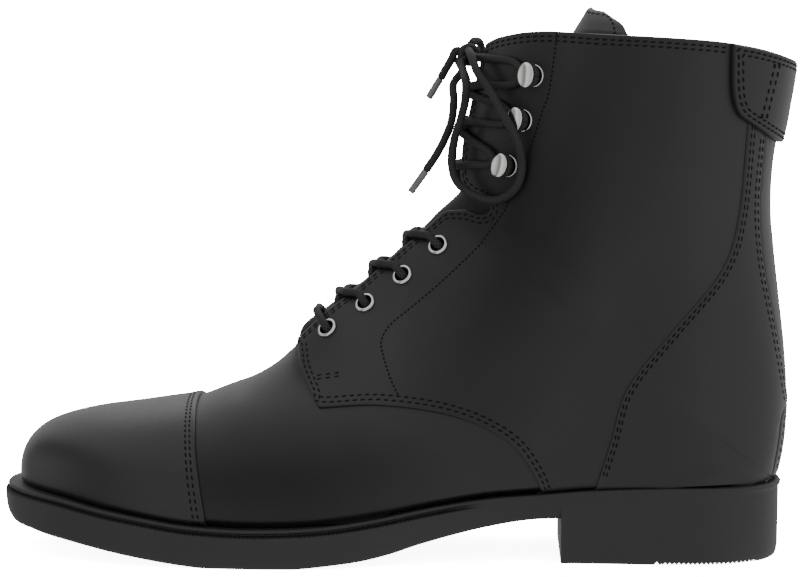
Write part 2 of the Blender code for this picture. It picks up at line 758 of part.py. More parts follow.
def make_back_pieces():
    """Strip up the back seam, tab at the heel and padded cuff round the collar."""
    below_cuff = [(x, z - SEAM_GAP) for x, z in along(CUFF_LOWER) if x > BACK_SEAM[0][0]]
    strip = along(BACK_SEAM)[::-1] + below_cuff + [(BEHIND_X, BACK_SEAM[-1][1])]
    overlay("back_strip", STRIP_LAYER, (HEEL_ROW, COLLAR_ROW), strip)
    tab = along(TAB_FRONT) + [(BEHIND_X, TAB_FRONT[-1][1]), (BEHIND_X, TAB_FRONT[0][1])]
    overlay("heel_tab", TAB_LAYER, (HEEL_ROW - 2.0, COLLAR_ROW), tab)
    cuff = along(CUFF_FRONT) + along(CUFF_LOWER)[1:] + [(BEHIND_X, CUFF_FRONT[0][1])]
    overlay("cuff", CUFF_LAYER, (HEEL_ROW, COLLAR_ROW), cuff)


def seat(row, half_width, side):
    """Frame on the upper: X to the front, Y along the facing, Z outwards."""
    s = share_at(row, side, half_width)
    point = upper_point(row, s, side)
    up = upper_point(row + 0.02, s, side) - upper_point(row - 0.02, s, side)
    front = upper_point(row, s + 0.004, side) - upper_point(row, s - 0.004, side)
    out = np.cross(up, front) if side == "outer" else np.cross(front, up)
    out = Vector(out).normalized()
    front = Vector(front)
    front = (front - out * front.dot(out)).normalized()
    matrix = Matrix((front, out.cross(front), out)).transposed().to_4x4()
    matrix.translation = Vector(point)
    return matrix


def baked(obj):
    """An object's evaluated mesh as a new mesh, welded; the object is removed."""
    bpy.context.view_layer.update()
    graph = bpy.context.evaluated_depsgraph_get()
    mesh = bpy.data.meshes.new_from_object(obj.evaluated_get(graph))
    bm = bmesh.new()
    bm.from_mesh(mesh)
    bmesh.ops.remove_doubles(bm, verts=bm.verts, dist=WELD)
    bm.to_mesh(mesh)
    bm.free()
    bpy.data.objects.remove(obj, do_unlink=True)
    return mesh


def drum(bm, radius, low, high, sides, forward=0.0):
    """Short cylinder from one height to another."""
    place = Matrix.Translation(Vector((forward, 0.0, (low + high) / 2)) * MM)
    bmesh.ops.create_cone(bm, cap_ends=True, segments=sides, radius1=radius * MM, radius2=radius * MM,
                          depth=(high - low) * MM, matrix=place)


def make_eyelet_holes():
    """Cutter with a round hole at every eyelet."""
    bm = bmesh.new()
    for side in ("outer", "inner"):
        for row, half_width in EYELETS:
            before = set(bm.verts)
            drum(bm, HOLE_RADIUS, -4.0, 4.0, EYELET_SIDES)
            bmesh.ops.transform(bm, matrix=seat(row, half_width, side), verts=list(set(bm.verts) - before))
    return hidden(new_object("eyelet_holes", mesh_from("eyelet_holes", bm), CUTTERS))


def make_eyelets():
    profile = bpy.data.meshes.new("eyelet")
    points = [(radius * MM, 0.0, height * MM) for radius, height in EYELET_PROFILE]
    edges = [(i, (i + 1) % len(points)) for i in range(len(points))]
    profile.from_pydata(points, edges, [])
    for side in ("outer", "inner"):
        for number, (row, half_width) in enumerate(EYELETS, 1):
            obj = new_object(f"eyelet_{side}_{number}", profile, PARTS)
            obj.matrix_local = seat(row, half_width, side)
            turn = obj.modifiers.new("turn", "SCREW")
            turn.steps = EYELET_SIDES
            turn.render_steps = EYELET_SIDES
            turn.use_merge_vertices = True
            turn.merge_threshold = WELD
            paint(obj, NICKEL)


def hook_mesh():
    """Lacing hook: a base disc, a neck and a domed head that leans to the front."""
    pieces = []
    turned = (("base", HOOK_BASE, 0.0), ("neck", HOOK_NECK, HOOK_NECK_FORWARD))
    for name, (radius, low, high), forward in turned:
        bm = bmesh.new()
        drum(bm, radius, low, high, EYELET_SIDES, forward)
        pieces.append(new_object("hook_" + name, mesh_from("hook_" + name, bm), CUTTERS))
    bm = bmesh.new()
    bmesh.ops.create_uvsphere(bm, u_segments=8, v_segments=6, radius=MM)
    bmesh.ops.scale(bm, vec=HOOK_HEAD_SIZE, verts=bm.verts)
    bmesh.ops.translate(bm, vec=Vector((HOOK_HEAD_FORWARD, 0.0, HOOK_HEAD_HEIGHT)) * MM, verts=bm.verts)
    head = new_object("hook_head", mesh_from("hook_head", bm), CUTTERS)
    for piece in pieces:
        boolean(head, "UNION", piece)
    mesh = baked(head)
    mesh.name = "hook"
    for piece in pieces:
        bpy.data.objects.remove(piece, do_unlink=True)
    return mesh


def make_hooks():
    mesh = hook_mesh()
    for side in ("outer", "inner"):
        for number, (row, half_width) in enumerate(HOOKS, 1):
            obj = new_object(f"hook_{side}_{number}", mesh, PARTS)
            obj.matrix_local = seat(row, half_width, side)
            paint(obj, NICKEL)


def tube(name, route, radius, collection, rounding=2):
    """Round cord along a smooth line through a route in millimetres."""
    curve = bpy.data.curves.new(name, "CURVE")
    curve.dimensions = "3D"
    curve.bevel_depth = radius * MM
    curve.bevel_resolution = rounding
    curve.use_fill_caps = True
    points = along(route, 1)
    spline = curve.splines.new("POLY")
    spline.points.add(len(points) - 1)
    for knot, point in zip(spline.points, points):
        knot.co = (*(Vector(point) * MM), 1.0)
    return new_object(name, curve, collection)


def on_lacing(row, place, height):
    """Point over the lacing in millimetres: place is across the boot, outer side negative."""
    matrix = seat(row, abs(place), "outer" if place < 0 else "inner")
    return tuple((matrix @ Vector((0.0, 0.0, height * MM))) / MM)


def strand(upper, lower, dives, mirror):
    """Route of one lace strand, from a fitting on one side down across the throat to the other side.

    upper, lower: section row and half width where the strand stops; dives: it ends under the facing's edge.
    """
    sign = 1.0 if mirror else -1.0
    row_1, wide_1 = upper
    row_2, wide_2 = lower
    rows = row_1 + (row_2 - row_1) * np.array(STRAND_SHARES)
    edge_1 = float(half_gap(rows[2]))
    edge_2 = float(half_gap(rows[5]))
    places = [wide_1, (wide_1 + edge_1) / 2, edge_1, LACE_BRIDGE]
    places += [-LACE_BRIDGE, -edge_2, -(wide_2 + edge_2) / 2, -wide_2]
    centre = LACE_CENTRE + (CROSS_STEP if mirror else 0.0)
    heights = [LACE_OVER, LACE_OVER, LACE_OVER, centre, centre, LACE_OVER, LACE_OVER, LACE_OVER]
    if dives:
        places[5:] = [-(edge_2 - EDGE_CLEAR)]
        heights[5:] = [LACE_DIVE]
    return [on_lacing(row, sign * place, height) for row, place, height in zip(rows, places, heights)]


def make_lacing():
    """The lace across the throat: a bar at the lowest eyelets, then a crossing between each pair of rows."""
    row, half_width = EYELETS[0]
    wide = half_width - EYELET_REACH
    shares = (-1.0, -0.75, -0.5, -0.2, 0.2, 0.5, 0.75, 1.0)
    bar = [on_lacing(row, share * wide, LACE_OVER) for share in shares]
    paint(tube("lace_bar", bar, LACE_RADIUS, PARTS), CORD)
    fittings = [(row, half_width - EYELET_REACH) for row, half_width in EYELETS]
    fittings += [(row, half_width - HOOK_REACH) for row, half_width in HOOKS]
    for number, (lower, upper) in enumerate(zip(fittings, fittings[1:]), 1):
        dives = number <= len(EYELETS)
        step = DIVE_STEP if dives else HOOK_STEP
        lower = (ANKLE_DIVE_ROW if number == len(EYELETS) else lower[0] + step, lower[1])
        if number >= len(EYELETS):
            upper = (upper[0] - HOOK_STEP, upper[1])
        name = f"lace_cross_{number}"
        meshes = []
        for mirror in (False, True):
            curve = tube(name + "_strand", strand(upper, lower, dives, mirror), LACE_RADIUS, CUTTERS, 1)
            meshes.append(baked(curve))
        cross = new_object(name, meshes[0], PARTS)
        boolean(cross, "UNION", hidden(new_object(name + "_other", meshes[1], CUTTERS)))
        paint(cross, CORD)
    row, wide = fittings[-1]
    row = row + HOOK_STEP
    for side, sign in (("outer", -1.0), ("inner", 1.0)):
        edge = float(half_gap(row))
        route = [on_lacing(row, sign * place, LACE_OVER) for place in (wide, (wide + edge) / 2, edge)]
        route += [(KNOT_CENTRE[0] + 0.6, sign * (KNOT_SIZE[1] + 0.4), KNOT_CENTRE[2])]
        paint(tube("lace_tie_" + side, route, LACE_RADIUS, PARTS), CORD)


def make_bow():
    """Knot, loops and ends of the lace."""
    bm = bmesh.new()
    bmesh.ops.create_uvsphere(bm, u_segments=10, v_segments=6, radius=MM)
    bmesh.ops.scale(bm, vec=KNOT_SIZE, verts=bm.verts)
    bmesh.ops.translate(bm, vec=Vector(KNOT_CENTRE) * MM, verts=bm.verts)
    paint(new_object("lace_knot", mesh_from("lace_knot", bm), PARTS), CORD)
    near = [on_lacing(row, -place, height) for row, place, height in LOOP]
    near = [LOOP_NEAR_ENDS[0], *LOOP_NEAR_RISE] + near + [LOOP_NEAR_ENDS[1]]
    paint(tube("lace_loop_near", near, LACE_RADIUS, PARTS), CORD)
    far = [on_lacing(row, place, height) for row, place, height in LOOP[1:]]
    far = [LOOP_FAR_ENDS[0], *LOOP_FAR_RISE] + far + [LOOP_FAR_ENDS[1]]
    paint(tube("lace_loop_far", far, LACE_RADIUS, PARTS), CORD)
    paint(tube("lace_end_long", END_LONG, LACE_RADIUS, PARTS), CORD)
    paint(tube("lace_end_short", END_SHORT, LACE_RADIUS, PARTS), CORD)
    paint(tube("lace_tip_long", TIP_LONG, TIP_RADIUS, PARTS), CORD_TIP)
    paint(tube("lace_tip_short", TIP_SHORT, TIP_RADIUS, PARTS), CORD_TIP)


def centre_on_floor():
    """Put the origin under the middle of the boot's box, on the floor."""
    bpy.context.view_layer.update()
    graph = bpy.context.evaluated_depsgraph_get()
    corners = []
    for obj in PARTS.objects:
        if obj.type == "EMPTY" or obj.name.startswith(CORD_NAMES):
            continue
        solid = obj.evaluated_get(graph)
        corners += [obj.matrix_world @ vert.co for vert in solid.to_mesh().vertices]
        solid.to_mesh_clear()
    low = Vector(map(min, zip(*corners)))
    high = Vector(map(max, zip(*corners)))
    FRAME.location = (-(low.x + high.x) / 2, -(low.y + high.y) / 2, -low.z)


for old in list(bpy.data.objects):
    bpy.data.objects.remove(old, do_unlink=True)
PARTS = bpy.data.collections.new("lace_up_boot")
CUTTERS = bpy.data.collections.new("boot_cutters")
bpy.context.scene.collection.children.link(PARTS)
bpy.context.scene.collection.children.link(CUTTERS)
FRAME = bpy.data.objects.new("boot_frame", None)
PARTS.objects.link(FRAME)

EYELET_HOLES = make_eyelet_holes()
NOTCH_PRISM = side_prism("notch", NOTCH, -PRISM_REACH, PRISM_REACH)
make_outsole()
make_insole()
make_upper()
make_tongue()
make_toe_cap()
make_side_panels()
make_back_pieces()
make_eyelets()
make_hooks()
make_lacing()
make_bow()
centre_on_floor()
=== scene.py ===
"""Looks of the black lace-up boot: leather, seams, sole, lacing and the photo's view.

Tables are in millimetres in the same frame as the part's own tables, and those that are read by name
have the names of their columns in the first row. find_shift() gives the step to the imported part.
"""

import math

import bmesh
import bpy
import numpy as np
from mathutils import Matrix, Quaternion, Vector
from mathutils.geometry import delaunay_2d_cdt


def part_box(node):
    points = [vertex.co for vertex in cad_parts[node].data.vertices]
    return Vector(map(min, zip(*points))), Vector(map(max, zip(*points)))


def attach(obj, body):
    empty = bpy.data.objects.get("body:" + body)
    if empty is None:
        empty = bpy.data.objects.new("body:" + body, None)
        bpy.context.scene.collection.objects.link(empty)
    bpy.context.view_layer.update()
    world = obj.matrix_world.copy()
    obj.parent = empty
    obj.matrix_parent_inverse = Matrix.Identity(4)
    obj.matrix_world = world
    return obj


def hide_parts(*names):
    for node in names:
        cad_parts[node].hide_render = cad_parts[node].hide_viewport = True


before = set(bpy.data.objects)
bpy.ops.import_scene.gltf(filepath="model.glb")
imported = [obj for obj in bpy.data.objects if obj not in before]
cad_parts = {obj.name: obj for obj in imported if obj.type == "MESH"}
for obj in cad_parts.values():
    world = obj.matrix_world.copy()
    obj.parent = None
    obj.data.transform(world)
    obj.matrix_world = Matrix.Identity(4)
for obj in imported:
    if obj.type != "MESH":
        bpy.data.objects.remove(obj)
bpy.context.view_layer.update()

MM = 0.001
SIGN = {"outer": -1.0, "inner": 1.0}
SIDES = tuple(SIGN)

# Driving dimensions, mm
SOLE_TOE_X = -150.0
SOLE_HEEL_X = 150.3
TOE_X = -142.7
HEEL_X = 147.3
TOE_ROUND = 60.0
HEEL_ROUND = 36.0
END_POWER = 2.2
TOE_SWING = 7.0
SWING_END_X = -20.0
SWING_POWER = 1.5
WALL = 1.8
SEAT_GAP = 0.3
HEEL_TUCK = 1.0
COLLAR_LIFT = 5.8
LIFT_FROM_ROW = 27.0
COLLAR_CREST = (0.82, 0.12, 0.85)
COLLAR_CORNER = (0.035, 2.2)
TONGUE_THICKNESS = 2.2
TONGUE_GAP = 0.8
HOLE_RADIUS = 3.15
HOLE_DEPTH = 8.0
LACE_RADIUS = 1.55
LACE_OVER = 2.7
LACE_BRIDGE = 2.5
LACE_CENTRE = -1.6
LACE_DIVE = -0.4
EDGE_CLEAR = 2.1
STRAND_SHARES = (0.0, 0.16, 0.32, 0.45, 0.55, 0.68, 0.84, 1.0)
EYELET_REACH = 3.2
HOOK_REACH = 3.6
DIVE_STEP = 0.3
ANKLE_DIVE_ROW = 22.6
HOOK_STEP = 0.3

# Rows of the section table that the design refers to
CAP_ROW = 9.0
TONGUE_ROW = 11.5
THROAT_ROW = 12.0
HEEL_ROW = 21.0
STRIP_TOP_ROW = 29.6
COUNTER_TOP_ROW = 29.8
COLLAR_ROW = 31.0

# Top of the sole, where the upper stands
SOLE_TOP = (
    ("x", "z"),
    (-150, 25.8), (-142.7, 25.5), (-127, 24.3), (-105, 20.6), (-91, 18.4), (-78, 16.5), (-65, 15.5),
    (-41, 15.3), (-22, 16.3), (-2, 18.8), (18, 22.4), (38, 25.4), (56, 26.8), (79, 28.6), (100, 29.4),
    (151, 29.6),
)

# Underside of the sole in front of the heel: toe spring, flat tread, arch
SOLE_UNDER = (
    ("x", "z"),
    (-150, 15.2), (-146, 12.4), (-136.5, 10.4), (-120, 7.8), (-98.6, 4), (-80, 1.2), (-68, 0), (-34, 0),
    (-20, 1.2), (-8, 2.6), (3, 5), (12, 7.8), (25, 11.2), (38, 14.1), (56, 16.8), (66, 17.2),
)
HEEL_BREAST_X = 66.0

# Half widths of the edge where the upper meets the sole, before the ends are rounded
FEATHER = (
    ("x", "outer", "inner"),
    (-150, 42, 40.5), (-100, 44.5, 43.8), (-70, 47, 46.8), (-45, 48, 46.8), (-20, 46, 43), (10, 39, 36),
    (40, 33.5, 31.5), (70, 31.5, 31), (105, 33, 32.8), (151, 32, 32),
)

# How far the sole stands out beyond that edge
SOLE_EDGE = (("x", "margin"), (-150, 4.5), (-45, 4.4), (10, 3), (60, 2.2), (151, 2))

# Sections of the foot, toe to heel: lines from the sole edge up to the front ridge.
# outer, inner: half widths; widest: where on the line; low, high: roundness below and above
FOOT_SECTIONS = (
    ("front_x", "front_z", "base_x", "outer", "inner", "widest", "low", "high"),
    (-142.7, 31, -142.7, 43.5, 41.5, 0.36, 2.4, 2.2),
    (-142.1, 35, -142.1, 43.5, 41.5, 0.36, 2.4, 2.2),
    (-140.6, 38.8, -140.6, 43.5, 41.5, 0.36, 2.4, 2.2),
    (-138, 42.6, -138, 43.7, 41.7, 0.36, 2.4, 2.2),
    (-133, 46.6, -133, 44, 42.2, 0.36, 2.4, 2.2),
    (-125, 49.8, -125, 44.6, 43, 0.35, 2.4, 2.2),
    (-113, 52.6, -112.5, 45.6, 44.4, 0.34, 2.4, 2.2),
    (-98, 54.8, -95.5, 46.8, 46, 0.33, 2.4, 2.15),
    (-84, 57, -79.5, 48.2, 47.8, 0.32, 2.4, 2.1),
    (-73.3, 59, -66.5, 49.2, 48.8, 0.31, 2.4, 2),
    (-62, 63.4, -51, 49.9, 49.2, 0.3, 2.4, 1.9),
    (-50.5, 68, -34, 49.6, 48.2, 0.29, 2.4, 1.75),
    (-40, 75.4, -14, 48.3, 46.2, 0.29, 2.4, 1.6),
    (-35.2, 84, 4, 46.2, 43.6, 0.3, 2.4, 1.5),
    (-25.5, 95.6, 27, 43.2, 40.8, 0.33, 2.3, 1.46),
    (-14, 105.2, 55, 41, 39.2, 0.37, 2.2, 1.46),
    (-4.2, 113.4, 80, 40, 38.8, 0.41, 2.2, 1.5),
    (3.8, 120.4, 103, 39.2, 38.4, 0.44, 2.2, 1.55),
    (9.2, 124.9, 121, 38.6, 38, 0.45, 2.2, 1.6),
    (13.2, 128.4, 134, 38, 37.6, 0.46, 2.2, 1.63),
    (15.6, 130.8, 142.6, 37.7, 37.4, 0.46, 2.2, 1.65),
)

# Sections of the heel and shaft: lines from the back seam to the front ridge
SHAFT_SECTIONS = (
    ("front_x", "front_z", "base_x", "base_z", "outer", "inner", "widest", "low", "high"),
    (18.3, 133.8, 147.3, 30.2, 37.4, 37.1, 0.46, 2.2, 1.66),
    (21.4, 137.4, 149.7, 38, 37, 36.8, 0.47, 2.2, 1.68),
    (23.7, 141.2, 151.1, 50, 36.6, 36.5, 0.47, 2.2, 1.7),
    (24.6, 146, 151.5, 65, 36.2, 36.2, 0.48, 2.2, 1.74),
    (24.9, 151, 150.2, 82, 36, 36, 0.48, 2.2, 1.78),
    (25.4, 156.5, 148.1, 99.5, 35.8, 35.8, 0.49, 2.2, 1.82),
    (26.3, 162, 146, 117, 35.8, 35.8, 0.49, 2.2, 1.86),
    (27.9, 168.5, 144.6, 133, 36, 36, 0.5, 2.2, 1.9),
    (29.7, 176.5, 145.2, 150, 36.6, 36.6, 0.5, 2.2, 1.94),
    (31.9, 186, 148.2, 170, 37.3, 37.3, 0.5, 2.2, 1.97),
    (34.6, 195.3, 151.5, 189.5, 38, 38, 0.5, 2.2, 2),
)

# Half width of the lacing gap, by section row
GAP = (
    ("row", "half_gap"),
    (12, 0), (12.35, 5.2), (13, 7.2), (16, 7.4), (20, 7.8), (24, 8.8), (27, 10), (31, 12),
)
# Notch in both facings at the ankle, outline in side view: (x, z)
NOTCH = (
    (8, 136), (16.9, 129.4), (23, 131.6), (30, 132.2), (35, 131), (38.4, 131.8), (39.2, 133.8), (37.6, 135.8),
    (34, 136.8), (31, 138.6), (28.2, 142.4), (14, 147),
)
NOTCH_ROWS = (20.8, 24.2)

# Tongue: half width, set back from the facings, and puff between them, by section row
TONGUE = (
    ("row", "half_width", "lean", "puff"),
    (11.5, 14, 1.2, 0), (12.35, 17, 0.9, 0.6), (13, 19, 0.4, 3.4), (14, 21.5, 0, 0.6), (18, 23, 0, 0.3),
    (21, 24, 0, 0.3), (24, 25, 3, 0), (27, 26.5, 10.5, 0), (29, 27.5, 19, 0), (31, 28.5, 29.5, 0),
)
# Top of the tongue above the collar: further back, further up, share of the width
TONGUE_TIP = ((0, 0, 1), (3.4, 7, 1.03), (5.2, 10, 0.93), (7.3, 13.4, 0.73), (9.6, 17.4, 0.34))

# Overlays on the upper: gap below and thickness
CAP_LAYER = (0.6, 0.8)
QUARTER_LAYER = (0.3, 0.9)
COUNTER_LAYER = (0.3, 1.6)
STRIP_LAYER = (0.3, 1.1)
TAB_LAYER = (0.3, 1.6)
CUFF_LAYER = (0.3, 4.2)

# Rear edge of the toe cap: rows before the edge, share of the height
CAP_STEP = ((0.06, 0.96), (0.015, 0.82), (0.0, 0.45))
# Edges of the overlays in side view
QUARTER_FRONT = ((-34.3, 80.4), (-32.7, 72.4), (-28.9, 64.6), (-25.2, 58.8))
QUARTER_LOWER = ((-25.2, 58.8), (-1.8, 60.4), (24.8, 57.1), (45, 48), (54.8, 36), (60.5, 22))
COUNTER_FRONT = ((76, 22), (83.6, 47), (89.8, 67.6), (106.6, 89), (124.5, 111), (131, 132), (133.9, 166))
BACK_SEAM = ((140.7, 160.6), (138.9, 135), (140.8, 112), (146.9, 83.5), (151.6, 60))
CUFF_FRONT = ((127, 206), (127, 180), (129.4, 170), (134, 166))
CUFF_LOWER = ((134, 166), (148, 157), (162, 152))
TAB_FRONT = ((152.2, 59), (148.6, 54.5), (147, 43), (143.6, 26))
PANEL_LAP = 3.0
PRISM_REACH = 80.0

# Eyelets and hooks: section row and half width, lowest first
EYELETS = ((13.81, 15.1), (14.89, 15.0), (16.22, 15.2), (18.28, 15.0))
HOOKS = ((26.36, 24.8), (28.47, 27.9), (29.81, 29.6))

# Turned profile of an eyelet, up its bore, over the rim and down its barrel: radius, height over the upper
EYELET_PROFILE = (
    (2.68, -1.8), (2.68, 1.7), (2.76, 1.98), (2.92, 2.2), (3.17, 2.3), (3.44, 2.27), (3.72, 2.12),
    (3.94, 1.9), (4.04, 1.6), (3.94, 1.25), (3.05, 1.2), (3.05, -1.8),
)
# Hook: base ring, neck and domed head
HOOK_BASE_PROFILE = ((3.5, 1.1), (4.3, 1.1), (4.4, 1.45), (4.33, 1.8), (4.1, 2.0), (3.8, 1.96), (3.58, 1.7))
HOOK_NECK_PROFILE = ((0.05, 1.8), (1.6, 1.8), (1.35, 2.6), (1.3, 3.4), (1.3, 5.0), (1.6, 6.0), (0.05, 6.0))
HOOK_HEAD_SIZE = (3.3, 4.8, 1.25)
HOOK_HEAD_PLACE = (0.9, 0.0, 6.2)
HOOK_NECK_FORWARD = 0.8

# Free lace: a loop of the bow over the lacing (row, place across, height), then the ends
LOOP = (
    (29.75, 18.5, 8), (29.33, 22, 7.6), (28.86, 25, 8.6), (28.39, 27.3, 10.2), (27.73, 28.4, 7.6),
    (26.79, 28.2, 4.4), (25.92, 27.4, 3.8), (25.16, 25.5, 3.8), (24.39, 22.4, 3.9), (24.01, 19.1, 5),
    (24.03, 15.6, 7), (24.49, 12.9, 7.8), (25.45, 11.8, 7.8), (26.64, 12.5, 7.8), (27.81, 14.7, 8.4),
    (28.69, 16.4, 9.4), (29.38, 16.5, 10.2),
)
LOOP_NEAR_ENDS = ((30.2, -10.2, 192.6), (27.2, -6.8, 188.2))
LOOP_NEAR_RISE = ((31.4, -17.4, 190.2),)
LOOP_FAR_ENDS = ((30.8, 6.4, 195.0), (26.0, 6.4, 188.6))
LOOP_FAR_RISE = ((32.2, 9.4, 196.2), (34.2, 15.5, 195.6), (35.2, 24.8, 191.2))
KNOT_CENTRE = (30.2, 0.0, 191.0)
# Ways of the lace through the knot, and where a tie enters it, from the knot's centre
KNOT_CORE = ((0.2, -5.0, 0.8), (0.2, -2.0, 0.0), (0.2, 2.0, 0.0), (0.2, 5.0, 1.6))
KNOT_LOWER = ((-0.6, -3.6, -1.6), (0.0, 0.0, -1.8), (-0.6, 3.6, -1.6))
KNOT_TIE = (0.6, 3.0)
END_LONG = (
    (28, -2.6, 185), (24.4, -7.4, 180), (24.6, -11.6, 174), (24, -13, 167), (21.8, -12, 160.4),
    (18.7, -11, 154.2), (14.2, -10, 147.2),
)
TIP_LONG = ((14.0, -10.0, 146.9), (8.3, -9.0, 138.8))
END_SHORT = ((25.4, -1.8, 192.6), (23.6, -2.1, 189.4), (21.4, -2.5, 185.6), (19.4, -3.0, 182.0))
TIP_SHORT = ((19.2, -3.0, 181.7), (14.9, -3.6, 174.6))
TIP_RADIUS = 1.4

# Finish of the leather edges and the padded cuff; edge rings: share of the rounding, share of the height
EDGE_SPACING = 0.9
EDGE_ROUND = 0.7
EDGE_RINGS = ((0.35, 0.88), (0.0, 0.5))
PANEL_SCALE = (8.0, 50.0)
SOLE_TUCK = (0.9, 1.5)
UNDERSIDE = -0.15
CUFF_EDGE = 3.9
CUFF_REACH = 9.0
WELD = 1e-5
FINE_WELD = 1e-7

# Creases and swellings of the leather: line in side view, width, height
CREASES = (
    (((-8, 46), (-2, 38), (8, 33)), 6, -0.4),
    (((92, 196), (74, 140), (58, 110), (34, 70)), 15, -2),
    (((68, 190), (60, 150), (50, 128)), 7, 0.5),
)

# Painted shade on the leather in and around its hollows, by lower specular: centre in side view, half sizes,
# lean
SHADE_SPECULAR = (0.24, 0.5)
SHADE_SPECULAR_REACH = (0.2, 1.3)
SHAFT_PAINTED_SHADE = ((55.5, 129.0), (88.0, 30.0), 67.0)
VAMP_PAINTED_SHADE = ((-46.0, 32.0), (60.0, 22.0), 0.0)
TONGUE_PAINTED_SHADE = ((20.0, 110.0), (90.0, 20.0), 40.0)

# Stitches; their form: place along, radius
STITCH_PITCH = 2.95
STITCH_SHARE = 0.64
STITCH_WIDTH = 0.74
STITCH_HEIGHT = 0.2
STITCH_SLANT = 0.12
STITCH_FORM = ((-0.46, 0.55), (-0.3, 0.95), (0.3, 0.95), (0.46, 0.55))
STITCH_SIDES = 6
DECOR_PITCH = 1.7
SEAM_ROWS = (1.9, 3.6)
SEAM_SOFTEN = 2.0
SEAM_SPACING = 0.5
CUFF_SEAM = ((141.8, 189.4), (136.8, 167.6))
CUFF_SEAM_STEP = 1.8
COUNTER_SEAM_ROWS = (1.4, 2.6)
BACK_SEAM_ROWS = (0.8, 2.0)
TAB_SEAM = 1.6
CUFF_THREAD = 0.12
CAP_SEAM_ROWS = (8.82, 8.67)
DECOR_LINE = (
    (63.4, 199.5), (63, 194.3), (60.7, 177.4), (58.1, 169.6), (54.9, 159.1), (52.1, 151.6), (49.1, 143.4),
    (45, 133.6), (39, 124.7), (34.5, 118.7), (27, 111.2), (19.2, 103.9), (9.8, 95.8), (1.6, 89.1),
    (-1.8, 83.1), (-1, 77.9), (1.6, 70.4), (4.9, 63.8),
)
# Steps in from the tongue's side and top edge, and how many lines down the seam begins
TONGUE_SEAM = (2, 3, 30)
BAR_TACK = ((-26.8, 69.5), (-16.7, 71.4))
TACK_STEP = 1.3
# Least turns from the back seam: of points on a panel, and of stitches at the sole and at the back
LEAST_TURN = 0.004
SOLE_CLEAR = 0.02
BACK_CLEAR = 0.03

# Side of the sole from the top: drop, inset, set back of bead and groove, ribs, lip at the heel
WELT = (
    (0, 0.9, 1, 0, 0.2), (0.12, 0.45, 1, 0, 0.5), (0.4, 0.12, 1, 0, 0.8), (0.9, 0, 1, 0, 1),
    (1.3, 0, 1.1, 0, 1), (1.6, 0, 1.5, 0, 0.9), (1.85, 0, 2.3, 0, 0.75), (2.25, 0, 2.3, 0, 0.45),
    (2.75, 0, 1.3, 1, 0.1), (2.85, 0, 0.5, 1, 0.05), (3, 0, 0.12, 1, 0), (3.7, 0, 0, 0.3, 0),
    (4.2, 0, 0, 0, 0),
)
# Foot of the sole: rise from the underside, inset, teeth
SOLE_FOOT = (
    (4.2, 0.15, 0), (2.4, 0.4, 0), (1.5, 0.6, 0), (1.3, 0.65, 0.15), (0.35, 1.1, 1), (0, 1.7, 1),
)
SOLE_POINTS = 1300
RIB_PITCH = 0.98
RIB_DEPTH = 0.36
GROOVE_END = (22.0, 40.0)
LIP_OUT = 0.8
LIP_START = (112.0, 148.0)
TEETH = (103.4, 142.0)
TOOTH_PITCH = 1.75
TOOTH_DEPTH = 0.9
HEEL_NICK = (102.0, 1.1, 1.2)

# The lace at eyelets, hooks and knot
CROSS_RISE = 1.7
BAR_SHARES = (-1.0, -0.75, -0.5, -0.2, 0.2, 0.5, 0.75, 1.0)
BAR_HEIGHTS = (2.7, 2.7, 2.3, 0.1, 0.1, 2.3, 2.7, 2.7)
TIE_RISE = (0.0, 0.15, 0.3)
EYELET_DIP = ((-0.7, 0.0, -2.2), (-0.6, 0.0, 0.2), (0.3, 0.0, 2.1))
HOOK_TURN = 2.95
HOOK_TURNS = (180.0, 150.0, 120.0, 92.0)
HOOK_LACE = 3.7
KNOT_BAND = 2.9
KNOT_BAND_WIDTH = 5.6
KNOT_TURNS = (-40, 420)
BRAID_YARNS = 6.0
BRAID_PITCH = 1.1

# Studio
FLOOR_HALF = 4000.0
FLOOR_GLOW = 30.0
# Painted shadow on the glowing floor and tent: reach of the darkening, and share of the glow left at its
# darkest
FLOOR_SHADE = 60.0
SHADE_SHARE = 0.3
TENT_STRENGTH = 0.95
# White surroundings along X: place from -1 to 1, brightness
TENT_PANELS = (
    (-1.0, 1.0), (-0.82, 0.35), (-0.7, 0.35), (-0.58, 1.1), (-0.3, 0.9), (0.0, 0.75), (0.3, 0.62),
    (0.55, 1.05), (1.0, 0.95),
)
CAMERA_LENS = 128.2
CAMERA_SENSOR = 36.0
CAMERA_PLACE = (39.4, -1095.0, 197.2)
CAMERA_AIM = (4.0, 0.0, 101.0)
CAMERA_ROLL = 0.16
LIGHTS = (
    ("key_softbox", (-250.0, -250.0, 1000.0), (-40.0, 0.0, 60.0), (1.5, 1.2), 0.9),
    ("rear_softbox", (200.0, 800.0, 800.0), (0.0, 0.0, 80.0), (1.2, 0.6), 2.7),
)

# Fine grid over the upper's face: section row by turn round the section, and where it is eased
GRID_ROWS = np.linspace(0.0, COLLAR_ROW, 621)
GRID_TURNS = np.linspace(0.0, 2.0, 129)
LINE_ROWS = np.linspace(0.0, COLLAR_ROW, 3101)
# Looking up a point in side view: rounds, weight of a place outside the section line, farthest distance
PLACE_ROUNDS = 5
OFF_LINE = 50
FAR = 1e9
# Small step in turn that shows the way to the front
TURN_STEP = 0.01
# Lines of the upper below and above the throat, points across one side
UPPER_GRID = (100, 153, 61)
THROAT_STEP = 0.1
# Lines of the toe cap before its rear step, points from the sole to the ridge
CAP_GRID = (110, 61)
CAP_STEP_START = 0.14
# Lines of the tongue up to the collar, points across, lines of its tip
TONGUE_GRID = (100, 41, 22)
# Places along the sole where its outline and its width are worked out
OUTLINE_SAMPLES = 4001
WIDTH_SAMPLES = 2001
BREAST_STEP = 0.02
# Least distance from a panel's edge in steps of the edge, and of a seam from its edge as a share
RIM_CLEAR = 1.3
SEAM_CLEAR = 0.93
EDGE_MARGIN = 0.01
# Rows above the quarter's front and above the throat where the facing's edge and its seam begin
FACING_START = 0.05
FACING_SEAM_START = 0.8
